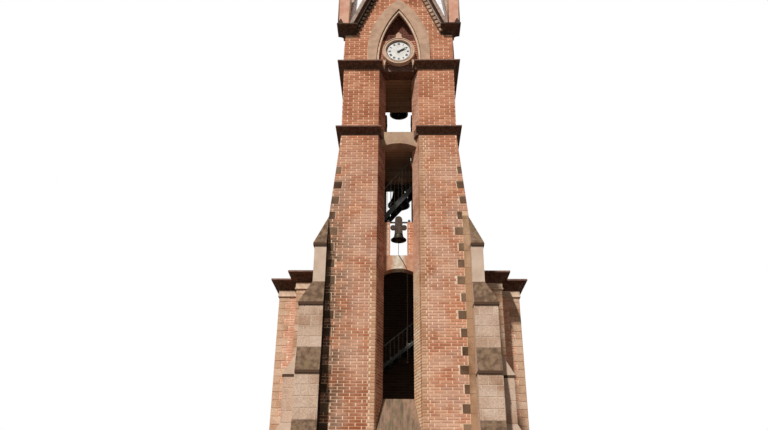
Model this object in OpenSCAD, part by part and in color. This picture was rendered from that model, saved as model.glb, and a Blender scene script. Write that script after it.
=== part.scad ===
// Bell tower of brick and cut stone, with three bells, a clock and a spire.
// Millimetres. The ground is z = 0, the tower's axis is x = y = 0 and the front looks along -Y.

/* [Tower plan] */
// Half width of the shaft between its buttresses
shaft_half = 1950; // [1900:10:2050]
// Half width of the belfry and the gable stage
belfry_half = 1700; // [1650:10:1750]
// Depth of the tower from front face to rear face
tower_depth = 3400; // [3300:50:3600]
// Thickness of the front and rear walls, which is the depth of the splayed reveals
wall = 600; // [550:10:650]
// Half width of the chamber inside
chamber_half = 1150; // [1050:10:1200]
// Half width of the slot at the outer face
slot_half = 606; // [560:2:640]
// Half width of the slot at the back of its reveals
throat_half = 415; // [395:5:430]

/* [Levels] */
// Top of the ground floor slab
ground_floor_z = 150; // [120:10:200]
// Top of the floor behind the sill
ringing_floor_z = 4690; // [4600:10:4740]
// Where the flanks start to lean in
batter_z = 9700; // [9600:20:9800]
// Underside of the lower cornice
low_cornice_z = 12330; // [12300:10:12400]
// Height of the lower cornice
low_cornice_h = 240; // [200:10:280]
// Underside of the upper cornice
top_cornice_z = 14720; // [14650:10:14800]
// Height of the upper cornice
top_cornice_h = 230; // [200:10:260]
// Level of the kneelers' undersides, where the gables start
kneeler_z = 16050; // [16000:10:16150]
// Height of the kneelers
kneeler_h = 290; // [260:10:480]
// Tip of the gable walls, under their copings
gable_tip_z = 19280; // [19100:20:19400]
// Tip of the spire
spire_tip_z = 28400; // [27500:100:29000]

/* [Slot] */
// Foot of the stone sill at the front
sill_front_z = 3700; // [3600:10:3800]
// Top of the stone sill at the back
sill_back_z = 4760; // [4720:10:4800]
// Springing of the arch over the lower opening
low_arch_z = 8236; // [8200:4:8300]
// Rise of that arch
low_arch_rise = 110; // [80:5:140]
// Top of the ledge under the swinging bell
ledge_z = 8740; // [8700:10:8800]
// Half width between the stub piers that carry the swinging bell
stub_gap_half = 250; // [240:2:280]
// Top of the stub piers
stub_top_z = 9760; // [9740:10:9780]
// Thickness of the wall with the ledge and the stub piers
stub_wall = 300; // [260:10:340]
// Depth of the upper arch behind the front face
arch_inset = 210; // [180:10:260]
// Springing of the upper arch
arch_spring_z = 12040; // [12000:10:12100]
// Rise of the upper arch
arch_rise = 140; // [110:5:180]
// Top of the upper arch
arch_top_z = 12570; // [12500:10:12600]

/* [Doorways] */
// Half width of the front doorway
door_half = 450; // [400:10:480]
// Height of the doorways to the springing of their arches
door_spring_z = 2150; // [2000:10:2300]
// Rise of the pointed arches of the doorways
door_rise = 620; // [500:10:700]

/* [Cornices and gables] */
// Overhang of the lower cornice
low_cornice_out = 170; // [140:5:200]
// Overhang of the upper cornice
top_cornice_out = 200; // [160:5:230]
// Thickness of the gable walls
gable_wall = 365; // [350:5:380]
// Overhang of the kneelers beyond the walls
kneeler_out = 270; // [240:10:300]
// Thickness of the gable copings, square to their slope
coping_t = 330; // [300:5:400]
// How far the copings stand in front of the walls
coping_out = 250; // [220:5:265]
// Width of a corner pinnacle's shaft
pinnacle_w = 360; // [300:10:380]
// Height of a pinnacle's shaft
pinnacle_h = 2700; // [2400:50:3000]
// Height of a pinnacle's pointed cap
pinnacle_cap_h = 900; // [800:20:1000]
// How far the spire's foot stands inside the gable stage's faces
spire_inset = 80; // [60:5:120]
// Thickness of the spire's shell, measured level
spire_shell = 160; // [140:10:200]

/* [Clock] */
// Height of the clock's centre
clock_z = 15380; // [15340:10:15420]
// Radius of the white dial
dial_r = 375; // [350:5:385]
// Outer radius of the stone ring
ring_r = 513; // [500:1:525]
// Half width of the pointed panel that holds the clock
panel_half = 700; // [680:5:720]
// Where the pointed panel starts to narrow
panel_spring_z = 15100; // [15050:10:15150]
// Height of the pointed panel above that
panel_rise = 2000; // [1900:20:2100]
// Width of the stone frame round the panel at its foot
frame_w = 280; // [250:5:300]

/* [Buttresses] */
// Tip of the uppermost cap
cap_tip_z = 9680; // [9640:5:9720]
// Height of the uppermost cap's slope
first_cap_h = 930; // [880:5:960]
// From the tip of the uppermost cap to the tip of the next
first_gap = 2030; // [1980:5:2080]
// Height of one buttress stage below that, from tip to tip
stage_h = 1790; // [1760:5:1820]
// Height of the lower caps' slopes
cap_h = 600; // [580:5:700]
// Width of the uppermost stage
first_out = 360; // [330:5:380]
// How far a cap's lip hangs over the stage below it
drip = 35; // [25:1:45]
// Height of that lip
drip_h = 70; // [50:1:85]
// How far a buttress widens sideways at each cap
cap_step = 320; // [300:5:340]
// How far the front of the buttress steps forward at each cap
front_step = 110; // [90:5:130]
// Forward projection of the uppermost stage
front_first = 310; // [280:5:340]
// Width of the buttress's forward part
front_w = 650; // [620:5:680]
// Depth of the buttress along the flank
flank_d = 900; // [800:10:1000]

/* [Bells] */
// Mouth radius of the swinging bell
low_bell_r = 224; // [210:1:228]
// Height of the swinging bell
low_bell_h = 200; // [190:5:220]
// Mouth radius of the middle bell
mid_bell_r = 350; // [330:5:365]
// Height of the middle bell
mid_bell_h = 560; // [520:10:600]
// Mouth radius of the top bell
top_bell_r = 325; // [300:5:335]
// Height of the top bell
top_bell_h = 520; // [480:10:560]
// Height of the swinging bell's axle
axle_z = 9820; // [9810:5:9860]
// Radius of the axle
axle_r = 25; // [20:1:28]
// Level of the middle bell's mouth
mid_mouth_z = 11100; // [11000:10:11200]
// Level of the top bell's mouth
top_mouth_z = 15080; // [15000:10:15150]

/* [Nave front] */
// Half width of the inner block beside the tower
inner_half = 3210; // [3150:10:3250]
// Half width of the outer block
outer_half = 3870; // [3800:10:3920]
// How far the inner block reaches forward along the tower's flanks
inner_lap = 350; // [300:10:400]
// How far the outer block's face stands behind the inner one
outer_setback = 770; // [720:10:800]
// Depth of the blocks to the party wall's face
nave_depth = 2600; // [2400:50:2800]
// Thickness of the nave's walls
nave_wall = 500; // [450:10:550]
// Top of the nave's cornice
nave_top_z = 9100; // [9050:10:9150]
// Height of the nave's cornice
nave_cornice_h = 330; // [300:10:360]
// Overhang of the nave's cornice
nave_cornice_out = 270; // [240:5:300]

/* [Hidden] */

front = -tower_depth / 2;
rear = tower_depth / 2;
half_depth = tower_depth / 2;
low_cornice_top = low_cornice_z + low_cornice_h;
top_cornice_top = top_cornice_z + top_cornice_h;
kneeler_top = kneeler_z + kneeler_h;
clock_floor_z = top_cornice_z + 180;
clock_floor_t = 120;
floor_t = 200;

brick = "#b5694c";
stone = "#b59a80";
dark_stone = "#5a463b";
bronze = "#4c453c";
iron = "#26262a";

// A profile in x and z, drawn out between two depths
module front_prism(points, y0, y1) {
  translate([0, y1, 0]) rotate([90, 0, 0]) linear_extrude(y1 - y0) polygon(points);
}

// A profile in y and z, drawn out between two widths
module side_prism(points, x0, x1) {
  translate([x0, 0, 0]) rotate([90, 0, 90]) linear_extrude(x1 - x0) polygon(points);
}

// A box from its two corners
module block(a, b) {
  translate(a) cube(b - a);
}

module both_sides() {
  children();
  mirror([1, 0, 0]) children();
}

module four_corners() {
  both_sides() {
    children();
    mirror([0, 1, 0]) children();
  }
}

// Points of a low arch: half span, springing and rise, from right to left
function segment_arch(half, z, rise, n = 16) =
  let (r = (half * half + rise * rise) / (2 * rise), a = asin(half / r))
  [for (i = [0 : n]) let (t = a - 2 * a * i / n) [r * sin(t), z + rise - r + r * cos(t)]];

// Points of a pointed arch struck from two centres on its springing line
function pointed_arch(half, z, rise, n = 10) =
  let (c = (rise * rise - half * half) / (2 * half), r = half + c, a = acos(c / r))
  concat([for (i = [0 : n]) [-c + r * cos(a * i / n), z + r * sin(a * i / n)]],
         [for (i = [n - 1 : -1 : 0]) [c - r * cos(a * i / n), z + r * sin(a * i / n)]]);

// The slot in plan, open from the front face to the back of its reveals
function slot_plan(half_out, half_in, y_out, y_in) =
  [[half_out, y_out], [half_in, y_in], [-half_in, y_in], [-half_out, y_out]];

// The right-hand pier of the front wall, in plan, cut by the splayed reveal
module pier_plan(outer) {
  polygon([[slot_half, front], [outer, front], [outer, front + wall], [throat_half, front + wall]]);
}

module front_pier() {
  intersection() {
    linear_extrude(low_cornice_z) pier_plan(shaft_half);
    front_prism([[0, 0], [shaft_half, 0], [shaft_half, batter_z], [belfry_half, low_cornice_z],
                 [0, low_cornice_z]], front, front + wall);
  }
}

module flank_wall() {
  front_prism([[chamber_half, 0], [shaft_half, 0], [shaft_half, batter_z],
               [belfry_half, low_cornice_z], [chamber_half, low_cornice_z]],
              front + wall, rear - wall);
}

// The wall behind the slot: the lower opening's jamb, then a stub pier under the bell's axle
module inner_pier() {
  front_prism([[throat_half, 0], [chamber_half, 0], [chamber_half, stub_top_z],
               [stub_gap_half, stub_top_z], [stub_gap_half, ledge_z], [throat_half, ledge_z]],
              front + wall, front + wall + stub_wall);
}

module front_piers() { color(brick) both_sides() front_pier(); }
module rear_piers() { color(brick) both_sides() mirror([0, 1, 0]) front_pier(); }
module flank_walls() { color(brick) both_sides() flank_wall(); }
module inner_piers() { color(brick) both_sides() inner_pier(); }

module ground_floor() {
  color("#9a8f84")
    block([-chamber_half, front + wall + stub_wall, 0], [chamber_half, rear - wall, ground_floor_z]);
}

// Brick wall that fills the slot up to the sill, with the pointed doorway through it
module door_infill() {
  color(brick) difference() {
    union() {
      linear_extrude(sill_front_z - sill_lip_h)
        polygon(slot_plan(slot_half, throat_half, front, front + wall));
      block([-throat_half, front + wall, 0],
            [throat_half, front + wall + stub_wall, ringing_floor_z - floor_t]);
    }
    front_prism(concat([[-door_half, -1], [door_half, -1]],
                       pointed_arch(door_half, door_spring_z, door_rise)),
                front - 1, front + wall + stub_wall + 1);
  }
}
sill_lip_h = 160;

// Weathered stone slope at the foot of the slot
module stone_sill() {
  color("#8d8272") intersection() {
    translate([0, 0, sill_front_z - sill_lip_h])
      linear_extrude(sill_back_z - sill_front_z + sill_lip_h)
        polygon(slot_plan(slot_half, throat_half, front, front + wall));
    side_prism([[front, sill_front_z - sill_lip_h], [front, sill_front_z],
                [front + wall, sill_back_z], [front + wall, sill_front_z - sill_lip_h]],
               -slot_half, slot_half);
  }
}

// Wall over the lower opening, whose top is the ledge below the bell
module bell_ledge() {
  color("#c49a80")
    front_prism(concat([[throat_half, ledge_z], [throat_half, low_arch_z]],
                       segment_arch(throat_half, low_arch_z, low_arch_rise),
                       [[-throat_half, ledge_z]]),
                front + wall, front + wall + stub_wall);
}

// Brick wall that fills the rear slot up to the nave's roof, with a doorway into the nave
module rear_infill() {
  color(brick) difference() {
    linear_extrude(nave_top_z)
      polygon([[slot_half, rear], [throat_half, rear - wall], [-throat_half, rear - wall],
               [-slot_half, rear]]);
    front_prism(concat([[-rear_door_half, -1], [rear_door_half, -1]],
                       pointed_arch(rear_door_half, door_spring_z, rear_door_rise)),
                rear - wall - 1, rear + 1);
  }
}
rear_door_half = 380;
rear_door_rise = 540;

module ringing_floor() {
  color("#8a7a6a") difference() {
    block([-chamber_half, front + wall + stub_wall, ringing_floor_z - floor_t],
          [chamber_half, rear - wall, ringing_floor_z]);
    block([-chamber_half + hatch_x, rear - wall - hatch_back - hatch_d, ringing_floor_z - floor_t - 1],
          [-chamber_half + hatch_x + hatch_w, rear - wall - hatch_back, ringing_floor_z + 1]);
  }
}

hatch_x = 150;
hatch_w = 750;
hatch_back = 200;
hatch_d = 900;

// Flat stone arch that ties the two piers near the top of the slot
module slot_arch() {
  in_half = arch_half();
  intersection() {
    translate([0, 0, arch_spring_z]) linear_extrude(arch_top_z - arch_spring_z)
      polygon(slot_plan(in_half, throat_half, front + arch_inset, front + wall));
    front_prism(concat([[in_half, arch_top_z], [in_half, arch_spring_z]],
                       segment_arch(in_half, arch_spring_z, arch_rise),
                       [[-in_half, arch_top_z]]),
                front, front + wall);
  }
}
module slot_arches() {
  color("#cdb596") {
    slot_arch();
    mirror([0, 1, 0]) slot_arch();
  }
}

// One buttress at the right-hand front corner, in stages that grow at each sloping cap
stages = 4;
function cap_tip(i) = cap_tip_z - (i == 0 ? 0 : first_gap + (i - 1) * stage_h);
function cap_foot(i) = cap_tip(i) - (i == 0 ? first_cap_h : cap_h);
function stage_out(i) = shaft_half + first_out + cap_step * i;
function stage_front(i) = front_first + front_step * i;

// Outline of all the stages seen square on: base is where they start, out gives each width
function stepped(base, out, last) =
  concat([[base, 0], [base + out[last] - drip, 0]],
         [for (i = [last : -1 : 0]) each [
           [base + out[i] - drip, cap_foot(i) - drip_h], [base + out[i], cap_foot(i) - drip_h],
           [base + out[i], cap_foot(i)],
           [base + (i == 0 ? 0 : out[i - 1] - drip), cap_tip(i)]]]);

side_outs = [for (i = [0 : stages - 1]) stage_out(i) - shaft_half];
front_outs = [for (i = [0 : stages - 1]) stage_front(i)];

module buttress() {
  forward = stepped(0, front_outs, stages - 1);
  intersection() {
    front_prism(stepped(shaft_half, [side_outs[0], front_w], 1),
                front - stage_front(stages), front + flank_d);
    side_prism(concat([for (q = forward) [front - q[0], q[1]]],
                      [[front + flank_d, cap_tip(0)], [front + flank_d, 0]]),
               shaft_half, shaft_half + front_w);
  }
  front_prism(stepped(shaft_half, side_outs, stages - 1), front, front + flank_d);
}
module buttresses() { color(stone) both_sides() buttress(); }

// Section of a cornice as how far it stands out and how high it is: a hollow under a thin band
function hollow_profile(out, h) =
  concat([[0, 0]],
         [for (i = [1 : 8]) [out * (1 - cos(90 * i / 8)), h * 0.84 * sin(90 * i / 8)]],
         [[out, h]]);
function cornice_profile(out, h) = concat(hollow_profile(out, h), [[0, h]]);

// The cornice right round a square of the given half sizes, mitred at the corners
module cornice_ring(half_x, half_y, z, out, h, inner) {
  p = cornice_profile(out, h);
  difference() {
    intersection() {
      front_prism(concat([for (q = p) [half_x + q[0], z + q[1]]],
                         [for (i = [len(p) - 1 : -1 : 0]) [-half_x - p[i][0], z + p[i][1]]]),
                  -half_y - out, half_y + out);
      side_prism(concat([for (q = p) [half_y + q[0], z + q[1]]],
                        [for (i = [len(p) - 1 : -1 : 0]) [-half_y - p[i][0], z + p[i][1]]]),
                 -half_x - out, half_x + out);
    }
    block([-half_x + inner, -half_y + inner, z - 1], [half_x - inner, half_y - inner, z + h + 1]);
  }
}

// The slot in plan as the lower cornice leaves it, narrowed by its returns up to the arch
function cornice_gap() =
  [[slot_half - low_cornice_return, front - low_cornice_out - 1], [slot_half - low_cornice_return, front],
   [arch_half() - low_cornice_return, front + arch_inset], [arch_half(), front + arch_inset],
   [throat_half, front + wall], [0, front + wall], [0, front - low_cornice_out - 1]];
low_cornice_return = 90;
function arch_half() = slot_half - (slot_half - throat_half) * arch_inset / wall;

module low_cornice() {
  color(dark_stone) difference() {
    cornice_ring(belfry_half, half_depth, low_cornice_z, low_cornice_out, low_cornice_h,
                 belfry_half - chamber_half);
    translate([0, 0, low_cornice_z - 1]) linear_extrude(low_cornice_h + 2)
      both_sides() {
        polygon(cornice_gap());
        mirror([0, 1]) polygon(cornice_gap());
      }
  }
}

module belfry_floor() {
  color("#4a3a30") difference() {
    block([-chamber_half, front + wall, arch_spring_z + arch_rise + 20],
          [chamber_half, rear - wall, arch_top_z - 120]);
    block([chamber_half - 780, up_flight_y - hatch_gap, arch_spring_z],
          [chamber_half + 1, up_flight_y + up_flight_w + hatch_gap, arch_top_z]);
  }
}

module belfry_pier() {
  translate([0, 0, low_cornice_top]) linear_extrude(top_cornice_z - low_cornice_top)
    pier_plan(belfry_half);
}
module belfry_flank() {
  block([chamber_half, front + wall, low_cornice_top], [belfry_half, rear - wall, top_cornice_z]);
}
module belfry_piers() { color(brick) four_corners() belfry_pier(); }
module belfry_walls() { color(brick) both_sides() belfry_flank(); }

module clock_floor() {
  color("#4f3a2c")
    block([-chamber_half, -half_depth + gable_wall, clock_floor_z],
          [chamber_half, rear - wall - 120, clock_floor_z + clock_floor_t]);
}

module top_cornice() {
  color(dark_stone) difference() {
    cornice_ring(belfry_half, half_depth, top_cornice_z, top_cornice_out, top_cornice_h,
                 belfry_half - chamber_half);
    block([-clock_gap_half, front - top_cornice_out - 1, top_cornice_z - 1],
          [clock_gap_half, front + panel_brick_d, top_cornice_top + 1]);
    block([-throat_half, rear - 900, top_cornice_z - 1],
          [throat_half, rear + top_cornice_out + 1, top_cornice_top + 1]);
    block([-chamber_half, -half_depth + gable_wall, clock_floor_z],
          [chamber_half, half_depth - gable_wall, top_cornice_top + 1]);
  }
}

// Half width of the gap in the upper cornice, in front of the clock
clock_gap_half = 500;

// A gable wall's outline: upright to the kneelers, then up its two slopes
function gable_outline(half) =
  let (foot = half - gable_wall)
  [[half, top_cornice_top], [half, kneeler_z], [foot, kneeler_z], [0, gable_tip_z],
   [-foot, kneeler_z], [-half, kneeler_z], [-half, top_cornice_top]];

function panel_outline(under) =
  concat([[-panel_half, top_cornice_top - under], [panel_half, top_cornice_top - under]],
         pointed_arch(panel_half, panel_spring_z, panel_rise));

// Outline of the stone frame's outer edge, upright at the foot and pointed above
function frame_outline() =
  concat([[-panel_half - frame_w, top_cornice_top], [panel_half + frame_w, top_cornice_top]],
         pointed_arch(panel_half + frame_w, panel_spring_z + 400, panel_rise));

// How far the frames stand out: little at the front and rear, more on the flanks
frame_proud = 50;
flank_frame_proud = 110;
frame_depth = 170;

module gable_wall_solid(half) {
  difference() {
    front_prism(gable_outline(half), front, front + gable_wall);
    front_prism(frame_outline(), front - 1, front + frame_depth);
    front_prism(panel_outline(1), front, front + gable_wall + 1);
  }
}

module front_gable() { color(brick) gable_wall_solid(belfry_half); }
module rear_gable() {
  color(brick) difference() {
    mirror([0, 1, 0]) gable_wall_solid(belfry_half);
    top_beam_box();
  }
}

// The same wall turned to the flanks, between the front and rear gables
module side_gables() {
  color(brick) both_sides() intersection() {
    to_flank() gable_wall_solid(half_depth);
    block([0, front + gable_wall, 0], [belfry_half, rear - gable_wall, spire_tip_z]);
  }
}

// Turns what is made for the front to the right-hand flank
module to_flank() {
  rotate([0, 0, 90]) translate([0, half_depth - belfry_half, 0]) children();
}

module frame_solid(proud) {
  difference() {
    front_prism(frame_outline(), front - proud, front + frame_depth);
    front_prism(panel_outline(1), front - proud - 1, front + frame_depth + 1);
  }
}

module gable_frames() {
  color(stone) {
    frame_solid(frame_proud);
    mirror([0, 1, 0]) frame_solid(frame_proud);
    both_sides() to_flank() frame_solid(flank_frame_proud);
  }
}

panel_brick_d = 110;
panel_t = 160;
panel_brick_top = 16150;

// Brick filling of the pointed panels: low under the clock, right to the tip on the flanks
module gable_panels() {
  color(brick) {
    intersection() {
      front_prism(panel_outline(0), front + panel_brick_d, front + panel_brick_d + panel_t);
      block([-panel_half, front, top_cornice_top], [panel_half, 0, panel_brick_top]);
    }
    front_prism(panel_outline(0), front + panel_brick_d + panel_t, front + gable_wall);
    both_sides() to_flank()
      front_prism(panel_outline(0), front + panel_brick_d, front + panel_brick_d + panel_t);
  }
}

ring_t = 200;
dial_t = 155;

module clock_ring() {
  color(stone) translate([0, front + panel_brick_d, clock_z]) rotate([90, 0, 0])
    rotate_extrude($fn = 72)
      polygon([[dial_r, 0], [ring_r - 40, 0], [ring_r, 60], [ring_r, ring_t - 30],
               [ring_r - 40, ring_t], [dial_r + 30, ring_t], [dial_r, dial_t]]);
  color(stone) translate([0, front + panel_brick_d, clock_z + ring_r - ring_seat])
    rotate([90, 0, 0]) linear_extrude(ring_t - 40)
      polygon([[-115, 0], [115, 0], [75, 150], [90, 165], [90, 195], [-90, 195], [-90, 165],
               [-75, 150]]);
  color(stone) translate([0, front + panel_brick_d - ring_t / 2, clock_z + ring_r + 195])
    sphere(r = 62, $fn = 32);
}
ring_seat = 25;

module clock_dial() {
  color("#f2f0e8") translate([0, front + panel_brick_d, clock_z]) rotate([90, 0, 0])
    union() {
      cylinder(r = dial_r - seat, h = dial_t, $fn = 72);
      cylinder(r = hand_pin_r, h = dial_t + 2 * hand_t + 3 * hand_gap, $fn = 32);
    }
}

hand_pin_r = 12;
pin_gap = 0.1;
seat = 1;
hand_t = 8;
hand_gap = 8;
hour_y = front + panel_brick_d - dial_t - hand_gap;
minute_y = hour_y - hand_t - hand_gap;
hour_angle = 65;
minute_angle = 60;

// A hand in the dial's plane, pointing up before it is turned clockwise by its angle
module hand(length, width, y, angle, collar_r) {
  translate([0, y, clock_z]) rotate([90, 0, 0]) rotate([0, 0, -angle]) linear_extrude(hand_t)
    difference() {
      union() {
        circle(r = collar_r, $fn = 32);
        polygon([[-width / 2, -length * 0.22], [width / 2, -length * 0.22], [width * 0.35, 0],
                 [width / 2, length * 0.72], [0, length], [-width / 2, length * 0.72],
                 [-width * 0.35, 0]]);
      }
      circle(r = hand_pin_r + pin_gap, $fn = 32);
    }
}
module hour_hand() { color(iron) hand(dial_r * 0.52, 46, hour_y, hour_angle, 34); }
module minute_hand() { color(iron) hand(dial_r * 0.78, 34, minute_y, minute_angle, 30); }

// Stones at the feet of the gables, hollowed below, mitred at the corner, with a pointed knob
module kneelers() {
  p = hollow_profile(kneeler_out, kneeler_h);
  color(dark_stone) four_corners() {
    intersection() {
      front_prism(concat([[belfry_half - gable_wall, kneeler_z]],
                         [for (q = p) [belfry_half + q[0], kneeler_z + q[1]]],
                         [[belfry_half - gable_wall, kneeler_top]]),
                  front - kneeler_out, front + gable_wall);
      side_prism(concat([[front + gable_wall, kneeler_z]],
                        [for (q = p) [front - q[0], kneeler_z + q[1]]],
                        [[front + gable_wall, kneeler_top]]),
                 belfry_half - gable_wall, belfry_half + kneeler_out);
    }
    translate([belfry_half + kneeler_out - knob_inset - knob_half,
               front - (kneeler_out + pinnacle_w / 2) / 2, kneeler_top])
      taper([knob_half, (kneeler_out - pinnacle_w / 2) / 2], knob_tip_half, 0, knob_h);
  }
}
knob_half = 90;
knob_inset = 25;
knob_tip_half = 12;
knob_h = 200;

function gable_slope(half) = (gable_tip_z - kneeler_z) / (half - gable_wall);

// The plain band of a gable's coping over its wall, up both slopes, and its lap on the spire
module coping_core(half) {
  foot = half - gable_wall;
  slope = gable_slope(half);
  rise = coping_t * sqrt(1 + slope * slope);
  on_kneeler = foot + (rise - kneeler_h) / slope;
  front_prism([[foot, kneeler_z], [foot, kneeler_top], [on_kneeler, kneeler_top],
               [0, gable_tip_z + rise], [-on_kneeler, kneeler_top], [-foot, kneeler_top],
               [-foot, kneeler_z], [0, gable_tip_z]],
              front, front + gable_wall);
  front_prism([[foot, kneeler_z], [foot, kneeler_z + rise], [0, gable_tip_z + rise],
               [-foot, kneeler_z + rise], [-foot, kneeler_z], [0, gable_tip_z]],
              front + gable_wall, front + gable_wall + coping_back);
}

bed_out = 20;
dentil_w = 130;
fillet_out = 110;
fillet_t = 170;
band_t0 = coping_t - 110;

// Section of the coping in front of the wall: a bed for the dentils, a fillet, a hollow, a band
coping_section = concat(
  [[0, 0], [0, bed_out], [dentil_w, bed_out], [dentil_w, fillet_out], [fillet_t, fillet_out]],
  [for (i = [1 : 6]) let (a = 15 * i)
    [fillet_t + (band_t0 - fillet_t) * sin(a), fillet_out + (coping_out - fillet_out) * (1 - cos(a))]],
  [[coping_t, coping_out], [coping_t, 0]]);

// A gable's coping with its moulded front, mitred at the tip
module coping_pair(half) {
  foot = half - gable_wall;
  coping_core(half);
  both_sides() difference() {
    intersection() {
      translate([foot, front, kneeler_z]) rotate([0, atan(gable_slope(half)) - 90, 0])
        translate([0, 0, -coping_t])
          linear_extrude(gable_tip_z - kneeler_z + 4 * coping_t)
            polygon([for (q = coping_section) [q[0], -q[1]]]);
      block([0, front - coping_out, kneeler_z], [half + coping_t, front, spire_tip_z]);
    }
    block([foot, front - coping_out - 1, kneeler_z - 1], [half + coping_t + 1, front + 1, kneeler_top]);
  }
}
coping_back = 220;

module all_copings() {
  coping_pair(belfry_half);
  mirror([0, 1, 0]) coping_pair(belfry_half);
  both_sides() to_flank() coping_pair(half_depth);
}

module gable_copings() {
  color(dark_stone) difference() {
    all_copings();
    at_pinnacles() pinnacle_shaft();
  }
}

// Tapering solid with four faces, made by crossing two profiles; half is its foot in x and y
module taper(half, half_tip, z0, z1) {
  intersection() {
    front_prism([[-half[0], z0], [half[0], z0], [half_tip, z1], [-half_tip, z1]],
                -half[1], half[1]);
    side_prism([[-half[1], z0], [half[1], z0], [half_tip, z1], [-half_tip, z1]],
               -half[0], half[0]);
  }
}

module spike(half_foot, half_tip, z0, z1) {
  taper([half_foot, half_foot], half_tip, z0, z1);
}

pinnacle_shift = 60;

// Places a child at the foot of each pinnacle, which stands behind its knob
module at_pinnacles() {
  four_corners() translate([belfry_half + pinnacle_shift, front, kneeler_top]) children();
}

module pinnacle_shaft() {
  block([-pinnacle_w / 2, -pinnacle_w / 2, 0], [pinnacle_w / 2, pinnacle_w / 2, pinnacle_h]);
}

module pinnacles() {
  color("#d9a890") at_pinnacles() {
    pinnacle_shaft();
    spike(pinnacle_w / 2 + pinnacle_lip, pinnacle_tip_half, pinnacle_h,
          pinnacle_h + pinnacle_cap_h);
  }
}
pinnacle_lip = 40;
pinnacle_tip_half = 12;

spire_tip_half = 60;

// Hollow spire with four steep sides, cut where gables, copings and pinnacles stand in it
module spire() {
  color("#eef0ee") difference() {
    taper(spire_foot, spire_tip_half, kneeler_top, spire_tip_z);
    taper([for (f = spire_foot) f - spire_shell], spire_tip_half, kneeler_top - 1,
          spire_tip_z - spire_solid_h);
    for (a = [0, 1]) mirror([0, a, 0]) {
      coping_core(belfry_half);
      gable_core(belfry_half);
    }
    both_sides() to_flank() {
      coping_core(half_depth);
      gable_core(half_depth);
    }
    at_pinnacles() pinnacle_shaft();
  }
}
spire_foot = [belfry_half - spire_inset, half_depth - spire_inset];
spire_solid_h = 1500;

// The triangle of a gable wall above its kneelers
module gable_core(half) {
  foot = half - gable_wall;
  front_prism([[foot, kneeler_z], [0, gable_tip_z], [-foot, kneeler_z]],
              front - 1, front + gable_wall + 1);
}

module spire_finial() {
  color(stone) translate([0, 0, spire_tip_z]) rotate_extrude($fn = 32)
    polygon([[0, 0], [spire_tip_half, 0], [150, 120], [110, 220], [55, 260], [55, 330], [120, 420],
             [130, 480], [90, 560], [0, 600]]);
}

// Section of a bell: sound bow at the mouth, waist, shoulder and crown
function bell_section(r, h) =
  [[0.86 * r, 0], [1.00 * r, 0], [0.97 * r, 0.06 * h], [0.84 * r, 0.18 * h], [0.72 * r, 0.34 * h],
   [0.62 * r, 0.55 * h], [0.56 * r, 0.76 * h], [0.50 * r, 0.88 * h], [0.34 * r, 0.95 * h],
   [0.22 * r, 0.96 * h], [0.22 * r, h], [0, h], [0, 0.90 * h], [0.30 * r, 0.87 * h],
   [0.43 * r, 0.79 * h], [0.49 * r, 0.68 * h], [0.56 * r, 0.50 * h], [0.65 * r, 0.32 * h],
   [0.77 * r, 0.15 * h]];

module bell(r, h) {
  rotate_extrude($fn = 48) polygon(bell_section(r, h));
}

// A clapper: a rod hung from the crown, with a ball near the mouth and a tail below it
module clapper(r, h, tail) {
  translate([0, 0, -tail]) cylinder(r = 0.05 * r, h = 0.95 * h + tail, $fn = 16);
  translate([0, 0, 0.10 * h]) sphere(r = 0.15 * r, $fn = 24);
}

bell_y = front + wall + stub_wall / 2;
mouth_drop = 560;
clapper_tail = 55;
low_mouth_z = axle_z - mouth_drop;
low_crown_z = low_mouth_z + low_bell_h;

module low_bell() {
  color(bronze) translate([0, bell_y, low_mouth_z]) {
    bell(low_bell_r, low_bell_h);
    clapper(low_bell_r, low_bell_h, clapper_tail);
  }
}

yoke_half = 102;
yoke_foot_half = 118;
yoke_t = 120;
yoke_top_z = axle_z + 180;

cheek_r = 76;
cheek_lap = 16;
cheek_drop = 165;

// Timber yoke with a round top and a cheek on each side, with the axle through it
module low_bell_yoke() {
  color("#6b5d4d") {
    front_prism(concat([[yoke_foot_half, low_crown_z]],
                       [for (i = [0 : 12]) [yoke_half * cos(180 * i / 12),
                                            yoke_top_z - yoke_half + yoke_half * sin(180 * i / 12)]],
                       [[-yoke_foot_half, low_crown_z]]),
                bell_y - yoke_t / 2, bell_y + yoke_t / 2);
    both_sides() translate([yoke_half + cheek_r - cheek_lap, bell_y + yoke_t / 4, axle_z - cheek_drop])
      rotate([90, 0, 0]) cylinder(r = cheek_r, h = yoke_t / 2, $fn = 32);
    translate([-axle_half, bell_y, axle_z]) rotate([0, 90, 0])
      cylinder(r = axle_r, h = 2 * axle_half, $fn = 32);
  }
}
axle_half = stub_gap_half + 110;

// Iron bearings on the stub piers, each a block with a bore for the axle
module bearings() {
  color(iron) both_sides() difference() {
    block([stub_gap_half + 20, bell_y - 60, stub_top_z], [stub_gap_half + 90, bell_y + 60, axle_z + 55]);
    translate([0, bell_y, axle_z]) rotate([0, 90, 0])
      cylinder(r = axle_r + pin_gap, h = stub_gap_half + 200, $fn = 32);
  }
}

rope_d = 14;
// Points of the ringing rope, from below the clapper over the ledge and down inside
rope_points = [[0, -950, 9195], [0, -975, 9110], [-3, -1040, 8960], [-6, -1110, 8815],
  [0, -1124, 8750], [55, -1122, 8660], [120, -1120, 8550], [180, -1120, 8430], [222, -1118, 8330],
  [238, -1108, 8240], [243, -1080, 8090], [244, -1020, 7900], [244, -950, 7650], [244, -880, 7350],
  [244, -830, 7000], [244, -800, 6600], [244, -790, 6200], [244, -785, 5800]];

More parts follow.
